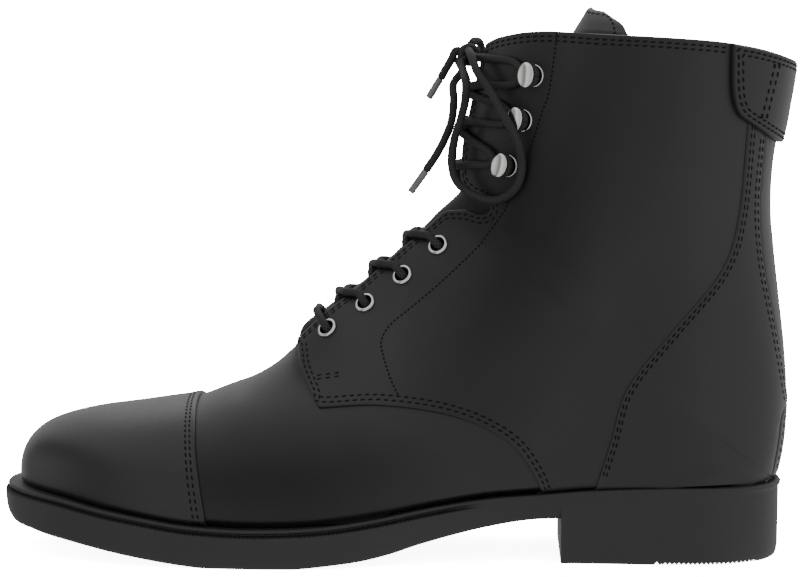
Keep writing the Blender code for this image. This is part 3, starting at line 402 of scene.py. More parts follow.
# Seam of the toe cap: first turn, points from there to the ridge
CAP_SEAM = (0.06, 120)
RING_SIDES = 40
NECK_SIDES = 24
# Rounded ends of lace and tips, as a share of the radius
LACE_END = 0.35
TIP_END = 0.2
EASE_ROWS = 1.5
EASE_TURNS = ((0.05, 0.35), (2.0, 1.88))
EASE_SPAN = ((11.0, 14.0), (31.0, 29.5))
QUARTER_TURN = math.pi / 2


def column(table, name):
    """One named column of a table, as an array."""
    place = table[0].index(name)
    return np.array([row[place] for row in table[1:]], float)


def smooth(knots, values, at):
    """Smooth curve through the values at the knots, read at the places asked for."""
    knots = np.asarray(knots, float)
    values = np.asarray(values, float)
    at = np.clip(np.asarray(at, float), knots[0], knots[-1])
    slopes = np.gradient(values, knots)
    left = np.clip(np.searchsorted(knots, at, side="right") - 1, 0, len(knots) - 2)
    step = knots[left + 1] - knots[left]
    f = (at - knots[left]) / step
    rise = values[left + 1] - values[left]
    bend = f * (1 - f) * ((1 - f) * (slopes[left] * step - rise) - f * (slopes[left + 1] * step - rise))
    return values[left] + f * rise + bend


def read(table, name, at):
    """A table's named column as a smooth curve over its first column."""
    return smooth(column(table, table[0][0]), column(table, name), at)


def ramp(low, high, at):
    """Smooth step from 0 at low to 1 at high."""
    f = np.clip((np.asarray(at, float) - low) / (high - low), 0.0, 1.0)
    return f * f * (3 - 2 * f)


def unit(vectors):
    """Vectors of length 1."""
    return vectors / np.maximum(np.linalg.norm(vectors, axis=-1, keepdims=True), 1e-9)


def along(edge, samples):
    """Points on a smooth line through an edge's points."""
    points = np.array(edge, float)
    knots = np.arange(len(points))
    stations = np.linspace(0, len(points) - 1, (len(points) - 1) * samples + 1)
    return np.stack([smooth(knots, line, stations) for line in points.T], axis=-1)


def run_length(points):
    """Length run along a line, at each of its points."""
    return np.concatenate([[0.0], np.cumsum(np.linalg.norm(np.diff(points, axis=0), axis=1))])


def at_lengths(points, length, at):
    """Points of a line at some lengths along it."""
    return np.stack([np.interp(at, length, line) for line in points.T], axis=-1)


def even_line(points, spacing, least=2):
    """Evenly spaced points along a line, and the length run at each."""
    length = run_length(points)
    at = np.linspace(0.0, length[-1], max(int(length[-1] / spacing), least) + 1)
    return at_lengths(points, length, at), at


def nearest(points, others):
    """Distance of each point from the nearest of some others."""
    apart = np.full(len(points), FAR)
    for other in others:
        apart = np.minimum(apart, np.linalg.norm(points - other, axis=1))
    return apart


def sole_top(x):
    """Height of the sole's top."""
    return read(SOLE_TOP, "z", x)


def sole_under(x):
    """Underside of the sole: arch and tread, then the heel block at floor level."""
    under = np.maximum(read(SOLE_UNDER, "z", x), 0.0)
    return np.where(np.asarray(x) >= HEEL_BREAST_X, 0.0, under)


def end_round(x, toe_x, heel_x):
    """Share of the half width left where toe and heel are rounded in plan."""
    x = np.asarray(x, float)
    toe = np.clip((toe_x + TOE_ROUND - x) / TOE_ROUND, 0.0, 1.0)
    heel = np.clip((x - heel_x + HEEL_ROUND) / HEEL_ROUND, 0.0, 1.0)
    return (1 - toe ** END_POWER) ** (1 / END_POWER) * (1 - heel ** END_POWER) ** (1 / END_POWER)


def swing(x):
    """Centre line of the foot in plan: the toe turns towards the inner side."""
    reach = np.clip((SWING_END_X - np.asarray(x, float)) / (SWING_END_X - SOLE_TOE_X), 0.0, 1.0)
    return TOE_SWING * reach ** SWING_POWER


def feather(x, side):
    """Half width of the upper where it meets the sole."""
    return read(FEATHER, side, x) * end_round(x, TOE_X, HEEL_X)


def sole_side(x, side):
    """Edge of the sole in plan."""
    wide = read(FEATHER, side, x) + read(SOLE_EDGE, "margin", x)
    return swing(x) + SIGN[side] * (wide * end_round(x, SOLE_TOE_X, SOLE_HEEL_X))


def all_sections():
    """The foot's and the shaft's sections as one table."""
    names = SHAFT_SECTIONS[0]
    rows = []
    for row in FOOT_SECTIONS[1:]:
        named = dict(zip(FOOT_SECTIONS[0], row))
        named["base_z"] = float(sole_top(named["base_x"]))
        rows.append(tuple(named[name] for name in names))
    return (names, *rows, *SHAFT_SECTIONS[1:])


SECTIONS = all_sections()


def section(row, name):
    """A named value of the section at a row, which may lie between two rows of the table."""
    values = column(SECTIONS, name)
    return smooth(np.arange(len(values)), values, row)


def half_gap(row):
    """Half width of the lacing gap: none below the throat."""
    gap = read(GAP, "half_gap", row)
    return np.where(np.asarray(row) <= THROAT_ROW, 0.0, np.maximum(gap, 0.0))


def full_width(row, side):
    """Largest half width of a section."""
    toe = end_round(np.where(np.asarray(row) < HEEL_ROW, section(row, "base_x"), 0.0), TOE_X, SOLE_HEEL_X * 2)
    return np.maximum(section(row, side) * toe, 1e-6)


def share_at(row, side, half_width):
    """Where on a section, above its widest point, the half width has this value."""
    wide = np.minimum(half_width / full_width(row, side), 1.0)
    widest = section(row, "widest")
    high = section(row, "high")
    return widest + (1 - widest) * (1 - wide ** high) ** (1 / high)


def collar_lift(row, s):
    """Rise of the collar between its front and its back."""
    share = np.clip((row - LIFT_FROM_ROW) / (COLLAR_ROW - LIFT_FROM_ROW), 0.0, 1.0)
    place, width, height = COLLAR_CREST
    crest = height * np.exp(-((s - place) / width) ** 2)
    corner = COLLAR_CORNER[1] * np.exp(-((1 - s) / COLLAR_CORNER[0]) ** 2)
    return share ** 2 * (COLLAR_LIFT * (1 - (2 * s - 1) ** 4) + crest - corner)


def base_of(row):
    """Lower end of the section lines in side view, at the sole or the back seam."""
    x = section(row, "base_x")
    tuck = HEEL_TUCK * np.clip(row - HEEL_ROW + 2.0, 0.0, 1.0)
    return x, np.where(row < HEEL_ROW, sole_top(x) + tuck, section(row, "base_z"))


def upper_point(row, s, side, lifted=True):
    """Point on the outer face of the upper: s runs from the sole or back seam (0) to the ridge (1)."""
    row = np.asarray(row, float)
    base_x, base_z = base_of(row)
    widest = section(row, "widest")
    low = section(row, "low")
    high = section(row, "high")
    wide = full_width(row, side)
    on_sole = np.where(row < HEEL_ROW, feather(base_x, side), 0.0)
    start = (1 - np.clip(on_sole / wide, 0.0, 1.0) ** low) ** (1 / low)
    below = 1 - (start * np.clip((widest - s) / widest, 0.0, 1.0)) ** low
    above = 1 - np.clip((s - widest) / (1 - widest), 0.0, 1.0) ** high
    half = wide * np.where(s < widest, below ** (1 / low), above ** (1 / high))
    lift = collar_lift(row, s) if lifted else 0.0
    x = base_x + (section(row, "front_x") - base_x) * s
    z = base_z + (section(row, "front_z") - base_z) * s + lift
    centre = np.where(row < HEEL_ROW, swing(base_x), 0.0)
    return np.stack([x, centre + SIGN[side] * half, z], axis=-1)


def share_of(row, turn):
    """Place on a section for an even turn: 0 at the sole or back, 1 at the widest point, 2 at the ridge."""
    widest = section(row, "widest")
    below = widest * (1 - np.cos(np.clip(turn, 0, 1) * QUARTER_TURN) ** (2 / section(row, "low")))
    above = np.sin(np.clip(turn - 1, 0, 1) * QUARTER_TURN) ** (2 / section(row, "high"))
    return np.where(turn < 1, below, widest + (1 - widest) * above)


def turn_of(row, s):
    """The turn round a section for a place on it."""
    widest = section(row, "widest")
    below = np.arccos(np.clip(1 - s / widest, 0, 1) ** (section(row, "low") / 2))
    above = np.arcsin(np.clip((s - widest) / (1 - widest), 0, 1) ** (section(row, "high") / 2))
    return np.where(s < widest, below, QUARTER_TURN + above) / QUARTER_TURN


def edge_turn(row, side, extra=0.0):
    """The turn at the edge of the lacing gap, or a little outside it."""
    wide = np.clip((half_gap(row) + extra) / full_width(row, side), 0.0, 1.0)
    return 1 + np.arccos(wide ** (section(row, "high") / 2)) / QUARTER_TURN


def eased(values, rows, turns):
    """Values smoothed along the rows over the ankle, where foot and shaft sections meet."""
    step = GRID_ROWS[1] - GRID_ROWS[0]
    reach = int(3 * EASE_ROWS / step)
    kernel = np.exp(-0.5 * (np.arange(-reach, reach + 1) * step / EASE_ROWS) ** 2)
    padded = np.pad(values, ((reach, reach), (0, 0)), mode="edge")
    soft = np.stack([np.convolve(line, kernel / kernel.sum(), "valid") for line in padded.T], axis=1)
    share = ramp(*EASE_TURNS[0], turns) * ramp(*EASE_TURNS[1], turns)
    share = share * ramp(*EASE_SPAN[0], rows) * ramp(*EASE_SPAN[1], rows)
    return values + (soft - values) * share


def grid_normals(points, side):
    """Outward normals of a grid of points on one side."""
    return unit(np.cross(np.gradient(points, axis=0), np.gradient(points, axis=1))) * -SIGN[side]


def line_distance(x, z, line):
    """Distance of points in side view from a line of points."""
    apart = np.full(np.shape(x), FAR)
    for (x1, z1), (x2, z2) in zip(line, line[1:]):
        f = ((x - x1) * (x2 - x1) + (z - z1) * (z2 - z1)) / ((x2 - x1) ** 2 + (z2 - z1) ** 2)
        f = np.clip(f, 0.0, 1.0)
        apart = np.minimum(apart, np.hypot(x - x1 - f * (x2 - x1), z - z1 - f * (z2 - z1)))
    return apart


def relief(points):
    """Soft creases and swellings of the leather and its tuck at the sole, outwards positive."""
    rise = np.zeros(points.shape[:-1])
    for line, width, height in CREASES:
        rise += height * np.exp(-(line_distance(points[..., 0], points[..., 2], along(line, 6)) / width) ** 2)
    above = points[..., 2] - sole_top(points[..., 0])
    return rise - SOLE_TUCK[0] * np.exp(-(above / SOLE_TUCK[1]) ** 2)


def make_skin(side):
    """Points and normals of the upper's outer face on one side."""
    rows, turns = np.meshgrid(GRID_ROWS, GRID_TURNS, indexing="ij")
    points = upper_point(rows, share_of(rows, turns), side)
    points[..., 1] = eased(points[..., 1], rows, turns)
    points = points + grid_normals(points, side) * relief(points)[..., None]
    return points, grid_normals(points, side)


def on_skin(row, turn, height=0.0):
    """Points over the upper and their normals; the turn is negative on the outer side."""
    row, turn, height = (np.asarray(part, float) for part in np.broadcast_arrays(row, turn, height))
    i = np.clip(row / COLLAR_ROW, 0, 1) * (len(GRID_ROWS) - 1)
    j = np.clip(np.abs(turn) / 2, 0, 1) * (len(GRID_TURNS) - 1)
    a = np.minimum(i.astype(int), len(GRID_ROWS) - 2)
    b = np.minimum(j.astype(int), len(GRID_TURNS) - 2)
    f = (i - a)[..., None]
    g = (j - b)[..., None]
    outer = (turn < 0)[..., None]
    found = []
    for layer in (0, 1):
        sides = []
        for side in SIDES:
            grid = SKIN[side][layer]
            sides.append((grid[a, b] * (1 - g) + grid[a, b + 1] * g) * (1 - f)
                         + (grid[a + 1, b] * (1 - g) + grid[a + 1, b + 1] * g) * f)
        found.append(np.where(outer, *sides))
    normal = unit(found[1])
    return found[0] + normal * height[..., None], normal


def line_ends():
    """Front and base of every section line in side view."""
    front = np.stack([section(LINE_ROWS, "front_x"), section(LINE_ROWS, "front_z")], axis=-1)
    return front, np.stack(base_of(LINE_ROWS), axis=-1)


def place_of(x, z):
    """Section row and turn of a point in side view."""
    front, base = LINE_ENDS
    run = front - base
    length = np.linalg.norm(run, axis=1)
    lift = 0.0
    for _ in range(PLACE_ROUNDS):
        to = np.array([x, z - lift]) - base
        apart = (run[:, 0] * to[:, 1] - run[:, 1] * to[:, 0]) / length
        s = (run * to).sum(axis=1) / length ** 2
        off = np.abs(apart) + OFF_LINE * np.clip(np.abs(s - 0.5) - 0.5, 0, None)
        i = int(np.clip(np.argmin(off), 1, len(LINE_ROWS) - 2))
        slope = (apart[i + 1] - apart[i - 1]) / 2
        step = np.clip(-apart[i] / slope if abs(slope) > 1e-9 else 0.0, -1.0, 1.0)
        row = float(LINE_ROWS[i] + step * (LINE_ROWS[1] - LINE_ROWS[0]))
        share = float(np.clip(s[i], 0.0, 1.0))
        lift = float(collar_lift(row, share))
    return row, float(turn_of(row, share))


def places(points):
    """Section rows and turns of points in side view."""
    return np.array([place_of(x, z) for x, z in points])


def traced(edge, samples=10):
    """Section rows and turns along an edge given in side view."""
    return places(along(edge, samples))


def moved(edge, step):
    """Section rows and turns along an edge moved to its left by a step, seen along its run."""
    points = along(edge, 6)
    run = unit(np.gradient(points, axis=0))
    return places(points + np.stack([-run[:, 1], run[:, 0]], axis=-1) * step)


def signed(line, side):
    """Rows and turns of a line on one side, just clear of the sole and the back seam."""
    return line[:, 0], SIGN[side] * np.maximum(line[:, 1], LEAST_TURN)


def on_panel(line, height, side):
    """A line of rows and turns as points and normals on a panel."""
    return on_skin(*signed(line, side), height)


def add(name, data):
    """New object in the scene."""
    obj = bpy.data.objects.new(name, data)
    bpy.context.scene.collection.objects.link(obj)
    return obj


def add_bmesh(name, bm):
    """New object from a mesh under construction."""
    mesh = bpy.data.meshes.new(name)
    bm.to_mesh(mesh)
    bm.free()
    return add(name, mesh)


def new_piece(name, points, faces, look, node=None, angle=50.0, weld=None, uv=None):
    """Mesh piece from points in millimetres of the part's own tables, in place of one of its nodes."""
    mesh = bpy.data.meshes.new(name)
    mesh.from_pydata((np.asarray(points, float) + SHIFT) * MM, [], faces)
    if uv is not None:
        layer = mesh.uv_layers.new(name="cord")
        layer.data.foreach_set("uv", np.asarray(uv, np.float32).ravel())
    mesh.shade_smooth()
    mesh.set_sharp_from_angle(angle=math.radians(angle))
    obj = add(name, mesh)
    mesh.materials.append(look)
    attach(obj, "root")
    if weld:
        tidy(obj, weld)
    if node:
        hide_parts(node)
    return obj


def tidy(obj, weld):
    """Weld a piece's seams and turn its faces outwards."""
    bm = bmesh.new()
    bm.from_mesh(obj.data)
    bmesh.ops.remove_doubles(bm, verts=bm.verts, dist=weld)
    bmesh.ops.dissolve_degenerate(bm, edges=bm.edges, dist=weld / 10)
    bmesh.ops.recalc_face_normals(bm, faces=bm.faces)
    bm.to_mesh(obj.data)
    bm.free()


def quads(first, rows, columns, flip=False, closed=False):
    """Faces of a grid whose points are numbered row by row."""
    faces = []
    for i in range(rows - 1):
        for j in range(columns if closed else columns - 1):
            k = (j + 1) % columns
            quad = (first + i * columns + j, first + (i + 1) * columns + j,
                    first + (i + 1) * columns + k, first + i * columns + k)
            faces.append(quad[::-1] if flip else quad)
    return faces


def rim_lines(first, rows, columns):
    """Numbers of a grid's points along its first and last column and its first and last row."""
    end = first + rows * columns
    return (range(first, end, columns), range(first + columns - 1, end, columns),
            range(first, first + columns), range(end - columns, end))


def bridge(line, below, flip=False):
    """Faces between a line of points and the same line of a layer below."""
    faces = [(a, b, b + below, a + below) for a, b in zip(line, line[1:])]
    return [face[::-1] for face in faces] if flip else faces


def shifted(faces, step):
    """Faces with their point numbers moved on."""
    return [tuple(i + step for i in face) for face in faces]


def cut(obj, cutter):
    """Cut a piece with another object, for good."""
    hole = obj.modifiers.new("holes", "BOOLEAN")
    hole.operation = "DIFFERENCE"
    hole.solver = "EXACT"
    hole.object = cutter
    bpy.context.view_layer.update()
    graph = bpy.context.evaluated_depsgraph_get()
    mesh = bpy.data.meshes.new_from_object(obj.evaluated_get(graph))
    obj.modifiers.clear()
    obj.data = mesh
    return obj


def make_base(look):
    """Vamp, lining and shaft as one wall with its open edges closed."""
    below, above, wide = UPPER_GRID
    foot_rows = np.linspace(0.0, THROAT_ROW - THROAT_STEP, below)
    rows = np.concatenate([foot_rows, np.linspace(THROAT_ROW, COLLAR_ROW, above)])
    spread = np.linspace(0.0, 1.0, wide)
    layer = len(rows) * len(spread)
    points = []
    faces = []
    for side in SIDES:
        inner = side == "inner"
        turns = SIGN[side] * edge_turn(rows, side)[:, None] * spread
        foot, facing, _, collar = rim_lines(len(points), len(rows), len(spread))
        facing = facing[int(np.searchsorted(rows, THROAT_ROW)):]
        for height in (0.0, -WALL):
            faces += quads(len(points), len(rows), len(spread), flip=inner != (height < 0))
            points.extend(on_skin(rows[:, None], turns, height)[0].reshape(-1, 3))
        faces += bridge(foot, layer, not inner) + bridge(facing, layer, inner) + bridge(collar, layer, inner)
    return new_piece("upper_leather", points, faces, look, "upper", weld=WELD)


def inside(loop, points):
    """Which points lie inside a closed loop."""
    count = np.zeros(len(points), bool)
    for (x1, y1), (x2, y2) in zip(loop, np.roll(loop, -1, axis=0)):
        crosses = (y1 > points[:, 1]) != (y2 > points[:, 1])
        if y1 != y2:
            count ^= crosses & (points[:, 0] < (x2 - x1) * (points[:, 1] - y1) / (y2 - y1) + x1)
    return count


def evened(loop):
    """A closed loop of rows and turns with its points evenly spaced on the boot."""
    closed = np.vstack([loop, loop[:1]])
    fine = np.vstack([a + (b - a) * np.linspace(0, 1, 5)[:-1, None] for a, b in zip(closed, closed[1:])])
    fine = np.vstack([fine, fine[:1]])
    length = run_length(on_skin(fine[:, 0], fine[:, 1])[0])
    at = np.linspace(0.0, length[-1], max(int(length[-1] / EDGE_SPACING), 12), endpoint=False)
    return at_lengths(fine, length, at)


def panel(name, loop, height, look, node, swell=0.0, row_step=0.14, turn_step=0.034):
    """Leather piece over a closed loop of rows and turns, with rounded edges and a closed underside."""
    loop = evened(loop)
    ends = zip(loop.min(axis=0), loop.max(axis=0), (row_step, turn_step))
    grid = np.meshgrid(*(np.arange(low, high, step) for low, high, step in ends), indexing="ij")
    grid = np.stack(grid, axis=-1).reshape(-1, 2)
    grid = grid[inside(loop, grid)]
    grid = grid[nearest(grid * PANEL_SCALE, loop * PANEL_SCALE) > EDGE_SPACING * RIM_CLEAR]
    flat = np.vstack([loop, grid])
    count = len(loop)
    size = len(flat)
    edges = [(i, (i + 1) % count) for i in range(count)]
    found = delaunay_2d_cdt([Vector(point) for point in flat * PANEL_SCALE], edges, [], 1, 1e-7)
    order = [min(ids) if ids else -1 for ids in found[3]]
    triangles = [tuple(order[i] for i in face) for face in found[2]]
    triangles = [face for face in triangles if min(face) >= 0]
    base, normal = on_skin(flat[:, 0], flat[:, 1])
    rim = base[:count]
    up = normal[:count]
    run = np.roll(rim, -1, axis=0) - np.roll(rim, 1, axis=0)
    area = np.sum(loop[:, 0] * np.roll(loop[:, 1], -1) - loop[:, 1] * np.roll(loop[:, 0], -1))
    inward = unit(np.cross(run, up)) * math.copysign(1.0, area)
    lift = height + swell * (1 - (1 - np.clip(nearest(base, rim) / CUFF_REACH, 0, 1)) ** 2)
    top = base + normal * lift[:, None]
    top[:count] += inward * EDGE_ROUND
    rings = [rim + inward * EDGE_ROUND * share + up * height * rise for share, rise in EDGE_RINGS]
    points = np.vstack([top, base + normal * UNDERSIDE, *rings])
    faces = [face[::-1] for face in triangles] + shifted(triangles, size)
    starts = (0, 2 * size, 2 * size + count, size)
    for upper, lower in zip(starts, starts[1:]):
        faces += [(upper + i, upper + k, lower + k, lower + i) for i, k in edges]
    return new_piece(name, points, faces, look, node, 70.0, FINE_WELD)


def over_ridge(start, count):
    """Turns from the outer side over the ridge to the inner side."""
    spread = np.linspace(start, 2.0, count)
    return np.concatenate([-spread, spread[::-1][1:]])


def make_toe_cap(look):
    """Cap over the toe, with a rounded step at its rear edge."""
    back, share = np.transpose(CAP_STEP)
    lines, wide = CAP_GRID
    rows = np.concatenate([np.linspace(0.0, CAP_ROW - CAP_STEP_START, lines), CAP_ROW - back])
    heights = sum(CAP_LAYER) * np.concatenate([np.ones(lines), share])
    turns = over_ridge(0.0, wide)
    points = []
    faces = []
    for flip, layer in ((False, heights), (True, np.full(len(rows), UNDERSIDE))):
        faces += quads(len(points), len(rows), len(turns), flip)
        points.extend(on_skin(rows[:, None], turns, layer[:, None])[0].reshape(-1, 3))
    left, right, _, rear = rim_lines(0, len(rows), len(turns))
    for line in (left, right, rear):
        faces += bridge(line, len(rows) * len(turns))
    new_piece("toe_cap_leather", points, faces, look, "toe_cap", 60.0, WELD)


def level(row, start, end, count=60):
    """Line along one section row from one turn to another."""
    return np.column_stack([np.full(count, row), np.linspace(start, end, count)])


def sole_line(start, end):
    """Edge of a panel along the sole between two rows, without its ends."""
    rows = np.linspace(start, end, 30)[1:-1]
    return np.column_stack([rows, 0 * rows])


def below_collar(line):
    """The part of a line that lies below the collar's edge."""
    return line[line[:, 0] < COLLAR_ROW - EDGE_MARGIN]


def facing_edge(side, lowest):
    """Edge of a facing from the collar down to the throat, round the notch, as section rows and turns."""
    pieces = []
    for high, low in ((COLLAR_ROW, NOTCH_ROWS[1]), (NOTCH_ROWS[0], lowest)):
        down = np.linspace(high, low, 200)
        pieces.append(np.column_stack([down, edge_turn(down, side)]))
    return np.vstack([pieces[0], traced(NOTCH[2:-1][::-1], 8), pieces[1]])


def collar_edge(side):
    """Edge of the collar from the cuff to the facing."""
    return level(COLLAR_ROW, place_of(*CUFF_FRONT[0])[1], edge_turn(COLLAR_ROW, side))


def cuff_edge():
    """Front and lower edge of the cuff, from the collar to the back."""
    return below_collar(np.vstack([traced(CUFF_FRONT), traced(CUFF_LOWER[:2])[1:]]))


def seam_line(edge, step, side):
    """Line of rows and turns that runs beside an edge, the leather being on the left of its run."""
    points, _ = even_line(on_panel(edge, 0.0, side)[0], SEAM_SPACING)
    window = int(SEAM_SOFTEN / SEAM_SPACING) * 2 + 1
    padded = np.pad(points, ((window // 2, window // 2), (0, 0)), mode="edge")
    points = np.stack([np.convolve(line, np.ones(window) / window, "valid") for line in padded.T], axis=-1)
    _, up = on_panel(places(points[:, ::2]), 0.0, side)
    inward = unit(np.cross(up, np.gradient(points, axis=0))) * -SIGN[side]
    beside = points + inward * step
    return places(beside[nearest(beside, points) > SEAM_CLEAR * step][:, ::2])


def panel_loops(side):
    """Outlines of the quarter and the counter on one side, as section rows and turns."""
    lap = (PANEL_LAP, 0.0)
    front = np.vstack([traced(QUARTER_FRONT), traced(QUARTER_LOWER)[1:]])
    front = front[front[:, 1] < edge_turn(front[:, 0], side) - EDGE_MARGIN]
    rear = below_collar(traced(np.add(COUNTER_FRONT, lap)))
    cuff = below_collar(traced(np.add(CUFF_FRONT[::-1], lap)))
    collar = collar_edge(side)
    collar = collar[collar[:, 1] > cuff[-1][1]]
    facing = facing_edge(side, front[0][0] + FACING_START)
    quarter = np.vstack([front, sole_line(front[-1][0], rear[0][0]), rear, cuff[1:], collar, facing[1:]])
    lower = along(CUFF_LOWER, 10)
    lower = lower[(lower[:, 0] > COUNTER_FRONT[-1][0]) & (lower[:, 0] < BACK_SEAM[0][0])] + (0.0, PANEL_LAP)
    counter = np.vstack([traced(COUNTER_FRONT), places(lower), traced(BACK_SEAM), traced(TAB_FRONT)])
    counter = np.vstack([counter, sole_line(counter[-1][0], counter[0][0])])
    return [np.column_stack(signed(loop, side)) for loop in (quarter, counter)]


def round_back(edge):
    """Outline across the back: an edge on the outer side and the same edge on the inner side."""
    return np.vstack([edge * (1.0, -1.0), edge[::-1]])


def make_panels(look):
    """Quarters, counters, back strip, heel tab and padded cuff."""
    for side in SIDES:
        quarter, counter = panel_loops(side)
        cut(panel("quarter_leather_" + side, quarter, sum(QUARTER_LAYER), look, "quarter_" + side), HOLES)
        panel("counter_leather_" + side, counter, sum(COUNTER_LAYER), look, "counter_" + side)
    seam = traced(BACK_SEAM)[::-1]
    seam = np.vstack([seam, level(STRIP_TOP_ROW, seam[-1][1], 0.0, 8)[:-1]])
    panel("back_strip_leather", round_back(seam), sum(STRIP_LAYER), look, "back_strip",
          row_step=0.08, turn_step=0.02)
    panel("heel_tab_leather", round_back(traced(TAB_FRONT)[::-1]), sum(TAB_LAYER), look, "heel_tab",
          row_step=0.06, turn_step=0.03)
    edge = cuff_edge()
    edge = np.vstack([[(COLLAR_ROW, edge[0][1])], edge])
    edge = edge[edge[:, 1] > SOLE_CLEAR]
    cuff = panel("cuff_leather", round_back(edge), CUFF_EDGE, look, "cuff", sum(CUFF_LAYER) - CUFF_EDGE,
                 row_step=0.1, turn_step=0.025)


def sole_outline():
    """Plan outline of the sole: outer side from toe to heel, then back along the inner side."""
    angles = np.linspace(0.0, math.pi, OUTLINE_SAMPLES)
    xs = SOLE_TOE_X + (SOLE_HEEL_X - SOLE_TOE_X) * (1 - np.cos(angles)) / 2
    length = run_length(np.column_stack([xs, sole_side(xs, "outer")]))
    stations = np.interp(np.linspace(0.0, length[-1], SOLE_POINTS), length, xs)
    breast = int(np.searchsorted(stations, HEEL_BREAST_X))
    stations[breast - 1:breast + 1] = (HEEL_BREAST_X - BREAST_STEP, HEEL_BREAST_X)
    outer, inner = (np.column_stack([stations, sole_side(stations, side)]) for side in SIDES)
    return np.vstack([outer, inner[-2:0:-1]])


def make_sole(look):
    """Sole unit with welt bead, ribbed groove, arch, toe spring, and a heel with a lip and fine teeth."""
    ring = sole_outline()
    x = ring[:, 0]
    run = np.roll(ring, -1, axis=0) - np.roll(ring, 1, axis=0)
    outward = unit(np.stack([run[:, 1], -run[:, 0]], axis=-1))
    outward *= math.copysign(1.0, np.sum(outward * (ring - ring.mean(axis=0))))
    step = np.linalg.norm(ring - np.roll(ring, 1, axis=0), axis=1)
    ribs = np.cos(2 * math.pi * np.cumsum(step) / RIB_PITCH)
    fade = ramp(*GROOVE_END[::-1], x)
    heel = ramp(*LIP_START, x)
    first, last = TEETH
    teeth = ramp(first, first + 0.5, x) * ramp(last, last - 1, x)
    teeth = teeth * TOOTH_DEPTH * np.abs((x - first) / TOOTH_PITCH % 1.0 - 0.5) * 2
    nick_x, nick_half, nick_depth = HEEL_NICK
    teeth = teeth + nick_depth * np.clip(1 - np.abs(x - nick_x) / nick_half, 0.0, 1.0)
    layers = []
    for drop, inset, groove, rib, lip in WELT:
        z = sole_top(x) - SEAT_GAP - drop - fade * rib * RIB_DEPTH * ribs
        layers.append((z, inset + fade * groove - heel * lip * LIP_OUT))
    for rise, inset, tooth in SOLE_FOOT:
        layers.append((sole_under(x) + teeth * tooth + rise, inset + 0 * x))
    points = np.vstack([np.column_stack([ring - outward * inset[:, None], z]) for z, inset in layers])
    count = len(ring)
    faces = quads(0, len(layers), count, closed=True)
    for start, flip in ((0, False), ((len(layers) - 1) * count, True)):
        for i in range(SOLE_POINTS - 1):
            corners = [i, i + 1, (count - i - 1) % count, (count - i) % count]
            corners = tuple(start + corner for corner in dict.fromkeys(corners))
            faces.append(corners[::-1] if flip else corners)
    new_piece("sole_unit", points, faces, look, "outsole", 38.0, FINE_WELD)


def tongue_grid():
    """Points across the tongue, row by row, up to its rounded top."""
    count, across, tip_count = TONGUE_GRID
    spread = np.linspace(-1.0, 1.0, across)
    lines = []
    for row in np.linspace(TONGUE_ROW, COLLAR_ROW, count):
        gap = max(float(half_gap(row)), 1.0)
        front, base = (np.array([section(row, end + "_x"), 0.0, section(row, end + "_z")])
                       for end in ("front", "base"))
        back = unit(base - front)
        wide, lean, puff = (float(read(TONGUE, name, row)) for name in TONGUE[0][1:])
        line = []
        for place in spread * wide:
            side = "outer" if place < 0 else "inner"
            point = upper_point(row, share_at(row, side, abs(place)), side, lifted=False)
            line.append(point + back * (lean - puff * max(0.0, 1 - (place / gap) ** 2)))
        lines.append(line)
    top = np.array(lines[-1])
    centre = top[len(spread) // 2]
    tip = np.array(TONGUE_TIP, float)
    for at in np.linspace(0, len(tip) - 1, tip_count)[1:]:
        back, up, share = (float(smooth(np.arange(len(tip)), line, at)) for line in tip.T)
        lines.append(centre + (top - centre) * share + np.array([back, 0.0, up]))
    return np.array(lines)


def make_tongue(look):
    """Tongue behind the lacing, with rounded edges; gives its face and normals for the stitches."""
    grid = tongue_grid()
    middle = grid[1:-1, 1:-1]
    grid[1:-1, 1:-1] = (grid[:-2, 1:-1] + 2 * middle + grid[2:, 1:-1]) / 4
    grid[1:-1, 1:-1] = (grid[1:-1, :-2] + 2 * middle + grid[1:-1, 2:]) / 4
    normal = unit(np.cross(np.gradient(grid, axis=0), np.gradient(grid, axis=1)))
    if normal[:, :, 0].mean() > 0:
        normal = -normal
    rows, wide = grid.shape[:2]
    across = np.arange(wide)
    edge = np.minimum(np.minimum(across, wide - 1 - across)[None, :], (rows - 1 - np.arange(rows))[:, None])
    round_off = 0.5 * TONGUE_THICKNESS * (1 - np.clip(edge / 2.0, 0, 1)) ** 2
    front = grid - normal * (WALL + TONGUE_GAP + round_off)[..., None]
    back = grid - normal * (WALL + TONGUE_GAP + TONGUE_THICKNESS - round_off * 0.98)[..., None]
    points = np.vstack([front.reshape(-1, 3), back.reshape(-1, 3)])
    faces = quads(0, rows, wide) + quads(rows * wide, rows, wide, flip=True)
    for line in rim_lines(0, rows, wide):
        faces += bridge(line, rows * wide)
    new_piece("tongue_leather", points, faces, look, "tongue", 80.0, FINE_WELD)
    return front, normal


def seat(row, half_width, side):
    """Frame on the upper: X to the front, Y along the facing, Z outwards."""
    turn = float(turn_of(row, share_at(row, side, half_width)))
    point, out = on_skin(row, SIGN[side] * turn)
    ahead, _ = on_skin(row, SIGN[side] * (turn + TURN_STEP))
    out = Vector(out)
    front = Vector(ahead - point)
    front = (front - out * front.dot(out)).normalized()
    matrix = Matrix((front, out.cross(front), out)).transposed().to_4x4()
    matrix.translation = Vector(point)
    return matrix


def lathe(profile, segments):
    """Points and faces of a closed profile turned round Z."""
    angles = np.linspace(0.0, 2 * math.pi, segments, endpoint=False)
    points = [(radius * math.cos(a), radius * math.sin(a), height)
              for a in angles for radius, height in profile]
    count = len(profile)
    faces = []
    for i in range(segments):
        k = (i + 1) % segments
        for j in range(count):
            m = (j + 1) % count
            faces.append((i * count + j, k * count + j, k * count + m, i * count + m))
    return np.array(points), faces


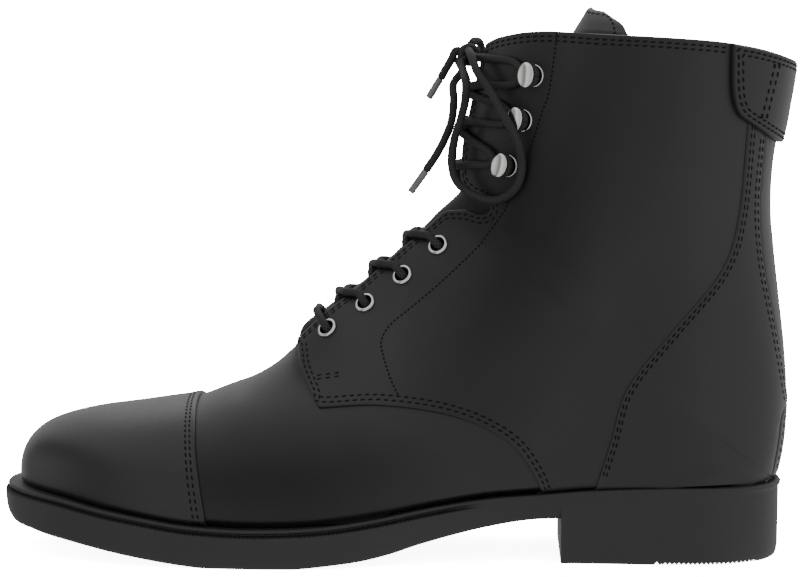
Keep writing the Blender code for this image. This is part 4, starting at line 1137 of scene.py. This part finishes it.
def dome(size, centre, segments=40, rings=20):
    """Points and faces of a flattened round body."""
    points = []
    for i in range(rings + 1):
        lift = math.cos(math.pi * i / rings)
        wide = math.sqrt(max(1 - lift ** 2, 0.0))
        for j in range(segments):
            a = 2 * math.pi * j / segments
            points.append((size[0] * wide * math.cos(a), size[1] * wide * math.sin(a), size[2] * lift))
    return np.array(points) + np.array(centre), quads(0, rings + 1, segments, closed=True)


def placed(matrix, points):
    """Points moved by a frame."""
    return np.asarray(points) @ np.array(matrix.to_3x3()).T + np.array(matrix.translation)


def make_fittings(look):
    """Eyelets and hooks in bright nickel."""
    ring, ring_faces = lathe(EYELET_PROFILE, RING_SIDES)
    base, base_faces = lathe(HOOK_BASE_PROFILE, RING_SIDES)
    neck, neck_faces = lathe(HOOK_NECK_PROFILE, NECK_SIDES)
    head, head_faces = dome(HOOK_HEAD_SIZE, HOOK_HEAD_PLACE)
    hook = np.vstack([base, neck + (HOOK_NECK_FORWARD, 0.0, 0.0), head])
    hook_faces = base_faces + shifted(neck_faces, len(base)) + shifted(head_faces, len(base) + len(neck))
    for side in SIDES:
        for fittings, form, faces, name, node in (
            (EYELETS, ring, ring_faces, "eyelet_ring", "eyelet"),
            (HOOKS, hook, hook_faces, "lacing_hook", "hook"),
        ):
            for number, (row, half_width) in enumerate(fittings, 1):
                ending = f"_{side}_{number}"
                points = placed(seat(row, half_width, side), form)
                new_piece(name + ending, points, faces, look, node + ending, weld=FINE_WELD)


def make_holes():
    """Cutter with a round hole at every eyelet."""
    bm = bmesh.new()
    for side in SIDES:
        for row, half_width in EYELETS:
            place = seat(row, half_width, side)
            place.translation = (place.translation + Vector(SHIFT)) * MM
            before = set(bm.verts)
            bmesh.ops.create_cone(bm, cap_ends=True, segments=28, radius1=HOLE_RADIUS * MM,
                                  radius2=HOLE_RADIUS * MM, depth=HOLE_DEPTH * MM)
            bmesh.ops.transform(bm, matrix=place, verts=list(set(bm.verts) - before))
    return add_bmesh("eyelet_holes", bm)


def make_notch():
    """Cutter with the outline of the notch at the ankle, right through the boot."""
    outline = along(NOTCH, 6)
    count = len(outline)
    points = [(x, y, z) for y in (-PRISM_REACH, PRISM_REACH) for x, z in outline]
    faces = [tuple(range(count)), tuple(range(2 * count - 1, count - 1, -1))]
    faces += [(i, i + count, (i + 1) % count + count, (i + 1) % count) for i in range(count)]
    mesh = bpy.data.meshes.new("notch")
    mesh.from_pydata((np.array(points, float) + SHIFT) * MM, [], faces)
    return add("notch", mesh)


def tube(route, radius, ends, sides=14, spacing=0.7):
    """Points, faces, cord coordinates and centre line of a round tube with softly rounded ends."""
    line, at = even_line(along(route, 24), spacing, 4)
    run = unit(np.gradient(line, axis=0))
    across = np.cross(run[0], (0.0, 0.0, 1.0))
    if np.linalg.norm(across) < 0.1:
        across = np.cross(run[0], (1.0, 0.0, 0.0))
    angles = np.linspace(0.0, 2 * math.pi, sides, endpoint=False)
    points = []
    for place, direction in zip(line, run):
        across = unit(across - direction * np.dot(across, direction))
        up = np.cross(direction, across)
        points.extend(place + radius * (np.cos(a) * across + np.sin(a) * up) for a in angles)
    count = len(line)
    faces = quads(0, count, sides, closed=True)
    uv = []
    for low, high in zip(at, at[1:]):
        for j in range(sides):
            left = j / sides
            right = (j + 1) / sides
            uv += [(left, low), (left, high), (right, high), (right, low)]
    for ring, direction, flip in ((0, -run[0], False), (count - 1, run[-1], True)):
        tip = len(points)
        points.append(line[ring] + direction * radius * ends)
        for j in range(sides):
            face = (tip, ring * sides + j, ring * sides + (j + 1) % sides)
            faces.append(face[::-1] if flip else face)
            uv += [(0.5, at[ring])] * 3
    return points, faces, uv, line


def cords(name, routes, look, node, radius=LACE_RADIUS, ends=LACE_END):
    """One piece of several round tubes; gives the piece and the last tube's centre line."""
    points = []
    faces = []
    uv = []
    for route in routes:
        tube_points, tube_faces, tube_uv, line = tube(route, radius, ends)
        faces += shifted(tube_faces, len(points))
        points += tube_points
        uv += tube_uv
    return new_piece(name, points, faces, look, node, 80.0, uv=uv), line


def on_lacing(row, place, height):
    """Point over the lacing: place is across the boot, outer side negative."""
    matrix = seat(row, abs(place), "outer" if place < 0 else "inner")
    return tuple(matrix @ Vector((0.0, 0.0, height)))


def hook_turn(number, side, upper_half):
    """Half turn of the lace round a hook's neck, from its back to its front."""
    matrix = seat(*HOOKS[number], side)
    sign = 1.0 if upper_half else -1.0
    points = [(HOOK_NECK_FORWARD + HOOK_TURN * math.cos(a), sign * HOOK_TURN * math.sin(a), HOOK_LACE)
              for a in np.radians(HOOK_TURNS)]
    return [tuple(matrix @ Vector(point)) for point in points]


def eyelet_dip(number, side):
    """Lace coming up through an eyelet."""
    matrix = seat(*EYELETS[number], side)
    return [tuple(matrix @ Vector(point)) for point in EYELET_DIP]


def strand(upper, lower, dives, mirror):
    """Route of one lace strand, from a fitting on one side down across the throat to the other side."""
    sign = 1.0 if mirror else -1.0
    row_1, wide_1 = upper
    row_2, wide_2 = lower
    rows = row_1 + (row_2 - row_1) * np.array(STRAND_SHARES)
    edge_1 = float(half_gap(rows[2]))
    edge_2 = float(half_gap(rows[5]))
    spots = [wide_1, (wide_1 + edge_1) / 2, edge_1, LACE_BRIDGE]
    spots += [-LACE_BRIDGE, -edge_2, -(wide_2 + edge_2) / 2, -wide_2]
    centre = LACE_CENTRE + (0.0 if mirror else CROSS_RISE)
    heights = [LACE_OVER] * 3 + [centre] * 2 + [LACE_OVER] * 3
    if dives:
        spots[5:] = [-(edge_2 - EDGE_CLEAR), -(edge_2 + 1.0)]
        heights[5:] = [LACE_DIVE, -WALL - LACE_RADIUS]
    return [on_lacing(row, sign * spot, height) for row, spot, height in zip(rows, spots, heights)]


def make_lacing(look):
    """The lace across the throat: a bar at the lowest eyelets, then a crossing between each pair of rows."""
    fittings = [(row, half_width - EYELET_REACH) for row, half_width in EYELETS]
    fittings += [(row, half_width - HOOK_REACH) for row, half_width in HOOKS]
    row, wide = fittings[0]
    bar = [on_lacing(row, share * wide, height) for share, height in zip(BAR_SHARES, BAR_HEIGHTS)]
    bar = eyelet_dip(0, "outer") + bar + eyelet_dip(0, "inner")[::-1]
    cords("lace_first_bar", [bar], look, "lace_bar")
    first_hook = len(EYELETS)
    for number, (lower, upper) in enumerate(zip(fittings, fittings[1:]), 1):
        dives = number <= first_hook
        lower = (lower[0] + (DIVE_STEP if dives else HOOK_STEP), lower[1])
        if number == first_hook:
            lower = (ANKLE_DIVE_ROW, lower[1])
        if number >= first_hook:
            upper = (upper[0] - HOOK_STEP, upper[1])
        routes = []
        for here, there in (SIDES, SIDES[::-1]):
            route = strand(upper, lower, dives, here == "inner")
            if number < first_hook:
                route = eyelet_dip(number, here) + route
            else:
                route = hook_turn(number - first_hook, here, False) + route
            if not dives:
                route = route + hook_turn(number - first_hook - 1, there, True)[::-1]
            routes.append(route)
        cords(f"lace_crossing_{number}", routes, look, f"lace_cross_{number}")
    row, wide = fittings[-1]
    row = row + HOOK_STEP
    edge = float(half_gap(row))
    for side in SIDES:
        route = hook_turn(len(HOOKS) - 1, side, True)
        for spot, rise in zip((wide, (wide + edge) / 2, edge), TIE_RISE):
            route.append(on_lacing(row + rise, SIGN[side] * spot, LACE_OVER))
        route.append((KNOT_CENTRE[0] + KNOT_TIE[0], SIGN[side] * KNOT_TIE[1], KNOT_CENTRE[2]))
        cords("lace_to_knot_" + side, [route], look, "lace_tie_" + side)


def knot_routes():
    """The knot's band, wound once and a bit round a core."""
    x, y, z = KNOT_CENTRE
    first, last = KNOT_TURNS
    band = []
    for degrees in range(first, last + 1, 20):
        a = math.radians(degrees)
        shift = (degrees - (first + last) / 2) / (last - first) * KNOT_BAND_WIDTH
        band.append((x - KNOT_BAND * math.cos(a), y + shift, z + KNOT_BAND * math.sin(a)))
    core = [LOOP_NEAR_ENDS[0], *np.add(KNOT_CORE, KNOT_CENTRE), LOOP_FAR_ENDS[0]]
    lower = [LOOP_NEAR_ENDS[1], *np.add(KNOT_LOWER, KNOT_CENTRE), LOOP_FAR_ENDS[1]]
    return [band, core, lower]


def make_bow(look, tip_look):
    """Knot, loops and ends of the lace."""
    near = [on_lacing(row, -place, height) for row, place, height in LOOP]
    near = [LOOP_NEAR_ENDS[0], *LOOP_NEAR_RISE, *near, LOOP_NEAR_ENDS[1]]
    far = [on_lacing(row, place, height) for row, place, height in LOOP[1:]]
    far = [LOOP_FAR_ENDS[0], *LOOP_FAR_RISE, *far, LOOP_FAR_ENDS[1]]
    knot, _ = cords("lace_bow_knot", knot_routes(), look, "lace_knot")
    short, _ = cords("lace_short_end", [(KNOT_CENTRE, *END_SHORT)], look, "lace_end_short")
    tips = {}
    for name, route in (("long", TIP_LONG), ("short", TIP_SHORT)):
        middle = tuple((a + b) / 2 for a, b in zip(*route))
        tips[name], _ = cords("lace_aglet_" + name, [(route[0], middle, route[1])], tip_look,
                              "lace_tip_" + name, TIP_RADIUS, TIP_END)
    for node, route, end, pieces in (
        ("lace_loop_near", near, "object", (knot, short, tips["short"])),
        ("lace_loop_far", far, "object", ()),
        ("lace_end_long", END_LONG, "fitting", (tips["long"],)),
    ):
        obj, line = cords(node + "_cord", [route], look, node)


def thread_form():
    """One stitch: a slim rounded body of length 1 along X and radius 1."""
    sides = range(STITCH_SIDES)
    angles = [2 * math.pi * k / STITCH_SIDES for k in sides]
    points = [(-0.5, 0.0, 0.0)]
    for x, radius in STITCH_FORM:
        points += [(x, radius * math.cos(a), radius * math.sin(a)) for a in angles]
    last = len(points)
    points.append((0.5, 0.0, 0.0))
    faces = [(0, 1 + (k + 1) % STITCH_SIDES, 1 + k) for k in sides]
    faces += shifted(quads(0, len(STITCH_FORM), STITCH_SIDES, closed=True), 1)
    ring = last - STITCH_SIDES
    return np.array(points), faces + [(last, ring + k, ring + (k + 1) % STITCH_SIDES) for k in sides]


def stitched(name, lines, look, pitch=STITCH_PITCH):
    """Rows of stitches along lines of points and normals."""
    form, form_faces = thread_form()
    points = []
    faces = []
    for line, normals in lines:
        length = run_length(line)
        count = int(length[-1] / pitch)
        at = (np.arange(count) + 0.5) * length[-1] / max(count, 1)
        reach = 0.5 * pitch * STITCH_SHARE
        start, centre, end = (at_lengths(line, length, np.clip(at + step, 0.0, length[-1]))
                              for step in (-reach, 0.0, reach))
        run = unit(end - start)
        across = unit(np.cross(unit(at_lengths(normals, length, at)), run))
        out = np.cross(run, across)
        for place, ahead, side, up in zip(centre, run, across, out):
            slant = unit(ahead + side * STITCH_SLANT)
            beside = np.cross(up, slant)
            body = (form[:, :1] * pitch * STITCH_SHARE * slant + form[:, 1:2] * STITCH_WIDTH / 2 * beside
                    + form[:, 2:] * STITCH_HEIGHT * up)
            faces += shifted(form_faces, len(points))
            points.extend(place + body)
    new_piece(name, points, faces, look, angle=80.0)


def tongue_seam():
    """Row of stitches along the rounded top of the tongue."""
    face, normal = TONGUE_FACE
    rows, wide = face.shape[:2]
    across, down, start = TONGUE_SEAM
    last = rows - 1 - down
    steps = [(i, across) for i in range(rows - start, last)]
    steps += [(last, j) for j in range(across, wide - across)]
    steps += [(i, wide - 1 - across) for i in range(last - 1, rows - start, -1)]
    return np.array([face[step] for step in steps]), np.array([normal[step] for step in steps])


def make_stitching(look):
    """Seams and decorative rows of stitches on the leather."""
    quarter = sum(QUARTER_LAYER)
    counter = sum(COUNTER_LAYER)
    cuff = sum(CUFF_LAYER)
    for side in SIDES:
        rows = []
        facing = np.vstack([collar_edge(side), facing_edge(side, THROAT_ROW + FACING_SEAM_START)[1:]])
        for step in SEAM_ROWS:
            line = moved(QUARTER_FRONT + QUARTER_LOWER[1:], step)
            line = line[(line[:, 1] < edge_turn(line[:, 0], side, step)) & (line[:, 1] > SOLE_CLEAR)]
            rows.append(on_panel(line, quarter, side))
            rows.append(on_panel(seam_line(facing, step, side), quarter, side))
        for shift in (0.0, TACK_STEP):
            rows.append(on_panel(traced(np.subtract(BAR_TACK, (0.0, shift))), quarter, side))
        stitched("quarter_stitches_" + side, rows, look)
        stitched("decor_stitches_" + side, [on_panel(traced(DECOR_LINE), quarter, side)], look, DECOR_PITCH)
        rows = []
        for step in COUNTER_SEAM_ROWS:
            line = moved(COUNTER_FRONT, -step)
            line = line[(line[:, 1] > SOLE_CLEAR) & (line[:, 0] < COUNTER_TOP_ROW)]
            rows.append(on_panel(line, counter, side))
        seams = [(BACK_SEAM, -step, counter) for step in BACK_SEAM_ROWS]
        for edge, step, height in (*seams, (TAB_FRONT, TAB_SEAM, sum(TAB_LAYER))):
            line = moved(edge, step)
            rows.append(on_panel(line[line[:, 1] > BACK_CLEAR], height, side))
        stitched("heel_stitches_" + side, rows, look)
        rows = []
        edge = cuff_edge()
        edge = np.vstack([level(COLLAR_ROW, BACK_CLEAR, edge[0][1]), edge])
        for step in SEAM_ROWS:
            height = CUFF_EDGE + (cuff - CUFF_EDGE) * (1 - (1 - step / CUFF_REACH) ** 2)
            line = seam_line(edge, step, side)
            rows.append(on_panel(line[line[:, 1] > BACK_CLEAR], height + CUFF_THREAD, side))
        for shift in (0.0, CUFF_SEAM_STEP):
            rows.append(on_panel(traced(np.add(CUFF_SEAM, (shift, 0.0))), cuff + CUFF_THREAD, side))
        stitched("cuff_stitches_" + side, rows, look)
    rows = [on_skin(row, over_ridge(*CAP_SEAM), sum(CAP_LAYER)) for row in CAP_SEAM_ROWS]
    stitched("toe_cap_stitches", rows, look)
    stitched("tongue_stitches", [tongue_seam()], look)


def wire(node, inputs):
    """Set a node's inputs: sockets are linked, values are set."""
    for name, value in inputs.items():
        if isinstance(value, bpy.types.NodeSocket):
            node.id_data.links.new(value, node.inputs[name])
        else:
            node.inputs[name].default_value = value


def node_of(nodes, kind, output, inputs, **settings):
    """Output of a new shader node."""
    node = nodes.new("ShaderNode" + kind)
    for name, value in settings.items():
        setattr(node, name, value)
    wire(node, inputs)
    return node.outputs[output]


def noise(nodes, place, scale, detail=3.0):
    """Noise texture on the object's own coordinates."""
    return node_of(nodes, "TexNoise", "Fac", {"Vector": place, "Scale": scale, "Detail": detail})


def spread_of(nodes, value, low, high, start=0.3, end=0.7):
    """A value mapped to a range."""
    ends = {"From Min": start, "From Max": end, "To Min": low, "To Max": high}
    return node_of(nodes, "MapRange", "Result", {"Value": value, **ends})


def blend_of(nodes, share, first, second):
    """Two colours mixed by a share."""
    colours = {"A": (*first, 1.0), "B": (*second, 1.0)}
    return node_of(nodes, "Mix", "Result", {"Factor": share, **colours}, data_type="RGBA")


def bump_of(nodes, height, strength, depth, **below):
    """Bump from a height, on top of another bump."""
    inputs = {"Height": height, "Strength": strength, "Distance": depth * MM, **below}
    return node_of(nodes, "Bump", "Normal", inputs)


def grey(value):
    """A neutral colour."""
    return (value, value, value)


def start_look(name, coordinates="Object"):
    """A new material with its nodes, shader and texture coordinates."""
    material = bpy.data.materials.new(name)
    material.use_nodes = True
    nodes = material.node_tree.nodes
    return material, nodes, nodes["Principled BSDF"], nodes.new("ShaderNodeTexCoord").outputs[coordinates]


def leather_look(name, dark, light, gloss, hollow):
    """Smooth black leather with fine pores, soft creasing of the grain and painted shade: less specular in
    and around one hollow.
    """
    material, nodes, shader, place = start_look(name)
    (x, z), (far, near), lean = hollow
    fine = noise(nodes, place, 700.0, 5.0)
    cells = node_of(nodes, "TexVoronoi", "Distance", {"Vector": place, "Scale": 1150.0}, feature="SMOOTH_F1")
    mapped = node_of(nodes, "Mapping", "Vector", {
        "Vector": place,
        "Location": Vector((x + SHIFT[0], 0.0, z)) * MM,
        "Rotation": (0.0, math.radians(-lean), 0.0),
        "Scale": (far * MM, 1.0, near * MM),
    }, vector_type="TEXTURE")
    # painted shade: the specular falls towards the hollow's centre, darkening it
    apart = node_of(nodes, "VectorMath", "Value", {0: mapped}, operation="LENGTH")
    wire(shader, {
        "Base Color": blend_of(nodes, noise(nodes, place, 28.0), dark, light),
        "Roughness": spread_of(nodes, fine, gloss - 0.02, gloss + 0.03),
        "Normal": bump_of(nodes, fine, 0.06, 0.12, Normal=bump_of(nodes, cells, 0.1, 0.1)),
        "Specular IOR Level": spread_of(nodes, apart, *SHADE_SPECULAR, *SHADE_SPECULAR_REACH),
    })
    return material


def rubber_look():
    """Matt moulded rubber."""
    material, nodes, shader, place = start_look("sole_rubber_matt")
    fine = noise(nodes, place, 1800.0, 4.0)
    wire(shader, {
        "Base Color": blend_of(nodes, noise(nodes, place, 40.0), grey(0.012), grey(0.02)),
        "Roughness": spread_of(nodes, fine, 0.5, 0.64),
        "Normal": bump_of(nodes, fine, 0.25, 0.12),
    })
    return material


def nickel_look():
    """Polished nickel plate with faint scratches."""
    material, nodes, shader, place = start_look("nickel_polished")
    wire(shader, {
        "Base Color": blend_of(nodes, noise(nodes, place, 160.0), (0.62, 0.61, 0.59), (0.74, 0.73, 0.71)),
        "Roughness": spread_of(nodes, noise(nodes, place, 900.0, 6.0), 0.08, 0.16),
        "Metallic": 1.0,
    })
    return material


def braid_look():
    """Round braided cord: two sets of yarns crossing round the cord, with painted shade darkening the grooves
    between the yarns.
    """
    material, nodes, shader, place = start_look("lace_braid", "UV")
    waves = {}
    for number, tilt in enumerate((1.0, -1.0)):
        scale = (BRAID_YARNS * tilt, 1.0 / BRAID_PITCH, 1.0)
        turned = node_of(nodes, "Mapping", "Vector", {"Vector": place, "Scale": scale})
        split = nodes.new("ShaderNodeSeparateXYZ")
        wire(split, {"Vector": turned})
        total = node_of(nodes, "Math", "Value", {0: split.outputs["X"], 1: split.outputs["Y"]})
        waves[number] = node_of(nodes, "Math", "Value", {0: total, 1: 0.5}, operation="PINGPONG")
    height = node_of(nodes, "Math", "Value", waves, operation="MAXIMUM")
    share = spread_of(nodes, height, 0.0, 1.0, 0.15, 0.5)
    wire(shader, {
        # painted shade: base colour near black in the grooves, lighter on the yarns' crests
        "Base Color": blend_of(nodes, share, grey(0.003), (0.022, 0.022, 0.023)),
        "Roughness": spread_of(nodes, height, 0.85, 0.6, 0.15, 0.5),
        "Normal": bump_of(nodes, height, 0.9, 0.35),
    })
    return material


def plain_look(name, dark, light, rough, scale, shine):
    """Slightly uneven finish for thread, lining and lace tips."""
    material, nodes, shader, place = start_look(name)
    fine = noise(nodes, place, scale, 4.0)
    wire(shader, {
        "Base Color": blend_of(nodes, fine, grey(dark), grey(light)),
        "Roughness": spread_of(nodes, fine, rough - 0.08, rough + 0.08),
        "Normal": bump_of(nodes, fine, 0.2, 0.1),
        "Specular IOR Level": shine,
    })
    return material


def white_look(name):
    """Bright white studio surface glowing evenly, with a painted shadow: its glow is dimmed near what stands
    on it.
    """
    material, nodes, shader, _ = start_look(name)
    # painted shadow: ambient occlusion dims the glow near the boot
    painted_shadow = node_of(nodes, "AmbientOcclusion", "AO", {"Distance": FLOOR_SHADE * MM}, samples=8)
    strength = spread_of(nodes, painted_shadow, SHADE_SHARE * FLOOR_GLOW, FLOOR_GLOW, 0.0, 1.0)
    glow = node_of(nodes, "Emission", "Emission", {"Strength": strength})
    wire(nodes["Material Output"], {"Surface": glow})
    nodes.remove(shader)
    return material


def make_world():
    """White surroundings, brighter and darker along X."""
    world = bpy.data.worlds.new("white_tent")
    world.use_nodes = True
    nodes = world.node_tree.nodes
    split = nodes.new("ShaderNodeSeparateXYZ")
    wire(split, {"Vector": nodes.new("ShaderNodeTexCoord").outputs["Generated"]})
    panels = nodes.new("ShaderNodeValToRGB")
    while len(panels.color_ramp.elements) < len(TENT_PANELS):
        panels.color_ramp.elements.new(0.5)
    for stop, (place, bright) in zip(panels.color_ramp.elements, TENT_PANELS):
        stop.position = (place + 1) / 2
        stop.color = (*grey(bright), 1.0)
    wire(panels, {"Fac": spread_of(nodes, split.outputs["X"], 0.0, 1.0, -1.0, 1.0)})
    wire(nodes["Background"], {"Color": panels.outputs["Color"], "Strength": TENT_STRENGTH})
    bpy.context.scene.world = world


def make_stage():
    """Pale floor, white surroundings, soft lights and the camera."""
    for name in ("studio_floor", "studio_tent"):
        bm = bmesh.new()
        if name == "studio_floor":
            bmesh.ops.create_grid(bm, x_segments=1, y_segments=1, size=FLOOR_HALF * MM)
        else:
            bmesh.ops.create_uvsphere(bm, u_segments=48, v_segments=24, radius=FLOOR_HALF * MM)
        obj = add_bmesh(name, bm)
        obj.visible_diffuse = False
        obj.visible_glossy = False
        obj.visible_shadow = False
        obj.data.materials.append(white_look(name + "_white"))
    make_world()
    for name, place, aim, size, power in LIGHTS:
        light = bpy.data.lights.new(name, "AREA")
        light.shape = "RECTANGLE"
        light.size, light.size_y = size
        light.energy = power
        obj = add(name, light)
        obj.location = Vector(place) * MM
        obj.rotation_euler = (Vector(aim) - Vector(place)).to_track_quat("-Z", "Y").to_euler()
    lens = bpy.data.cameras.new("photo_camera")
    lens.lens = CAMERA_LENS
    lens.sensor_width = CAMERA_SENSOR
    camera = add("photo_camera", lens)
    camera.location = (Vector(CAMERA_PLACE) + Vector(SHIFT)) * MM
    aim = Vector(CAMERA_AIM) - Vector(CAMERA_PLACE)
    roll = Quaternion((0.0, 0.0, 1.0), math.radians(CAMERA_ROLL))
    camera.rotation_euler = (aim.to_track_quat("-Z", "Y") @ roll).to_euler()
    bpy.context.scene.camera = camera


def find_shift():
    """Step from the tables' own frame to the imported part's frame, millimetres."""
    low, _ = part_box("outsole")
    widest = float(sole_side(np.linspace(SOLE_TOE_X, SOLE_HEEL_X, WIDTH_SAMPLES), "outer").min())
    return np.array([low.x / MM - SOLE_TOE_X, low.y / MM - widest, 0.0])


SHIFT = find_shift()
SKIN = {side: make_skin(side) for side in SIDES}
LINE_ENDS = line_ends()

LEATHER = ((0.006, 0.0062, 0.0062), (0.012, 0.0122, 0.0122))
TONGUE_LEATHER = ((0.005, 0.0052, 0.0052), (0.01, 0.0102, 0.0102))
# Leather looks; each paints shade into one hollow by lowering the specular there
UPPER = leather_look("black_leather_upper", *LEATHER, 0.4, VAMP_PAINTED_SHADE)
PANEL = leather_look("black_leather_panel", *LEATHER, 0.42, SHAFT_PAINTED_SHADE)
TONGUE_SKIN = leather_look("black_leather_tongue", *TONGUE_LEATHER, 0.46, TONGUE_PAINTED_SHADE)
RUBBER = rubber_look()
NICKEL = nickel_look()
BRAID = braid_look()
# Painted shade: the seam thread is black in itself, but is made darker and duller than the leather to stand
# in for the shade of the stitch holes and grooves
THREAD_AND_HOLE_SHADE = plain_look("seam_thread_and_hole_shade", 0.002, 0.005, 0.7, 2500.0, 0.16)
TIP = plain_look("lace_tip_grey", 0.12, 0.2, 0.32, 400.0, 0.5)
LINING = plain_look("dark_lining_cloth", 0.012, 0.03, 0.8, 1500.0, 0.3)

make_stage()
make_bow(BRAID, TIP)
make_lacing(BRAID)
HOLES = make_holes()
NOTCH_PRISM = make_notch()
cut(cut(make_base(UPPER), HOLES), NOTCH_PRISM)
make_toe_cap(PANEL)
make_panels(PANEL)
make_sole(RUBBER)
TONGUE_FACE = make_tongue(TONGUE_SKIN)
make_fittings(NICKEL)
make_stitching(THREAD_AND_HOLE_SHADE)
for cutter in (HOLES, NOTCH_PRISM):
    bpy.data.objects.remove(cutter, do_unlink=True)
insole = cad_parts["insole"]
insole.data.materials.clear()
insole.data.materials.append(LINING)
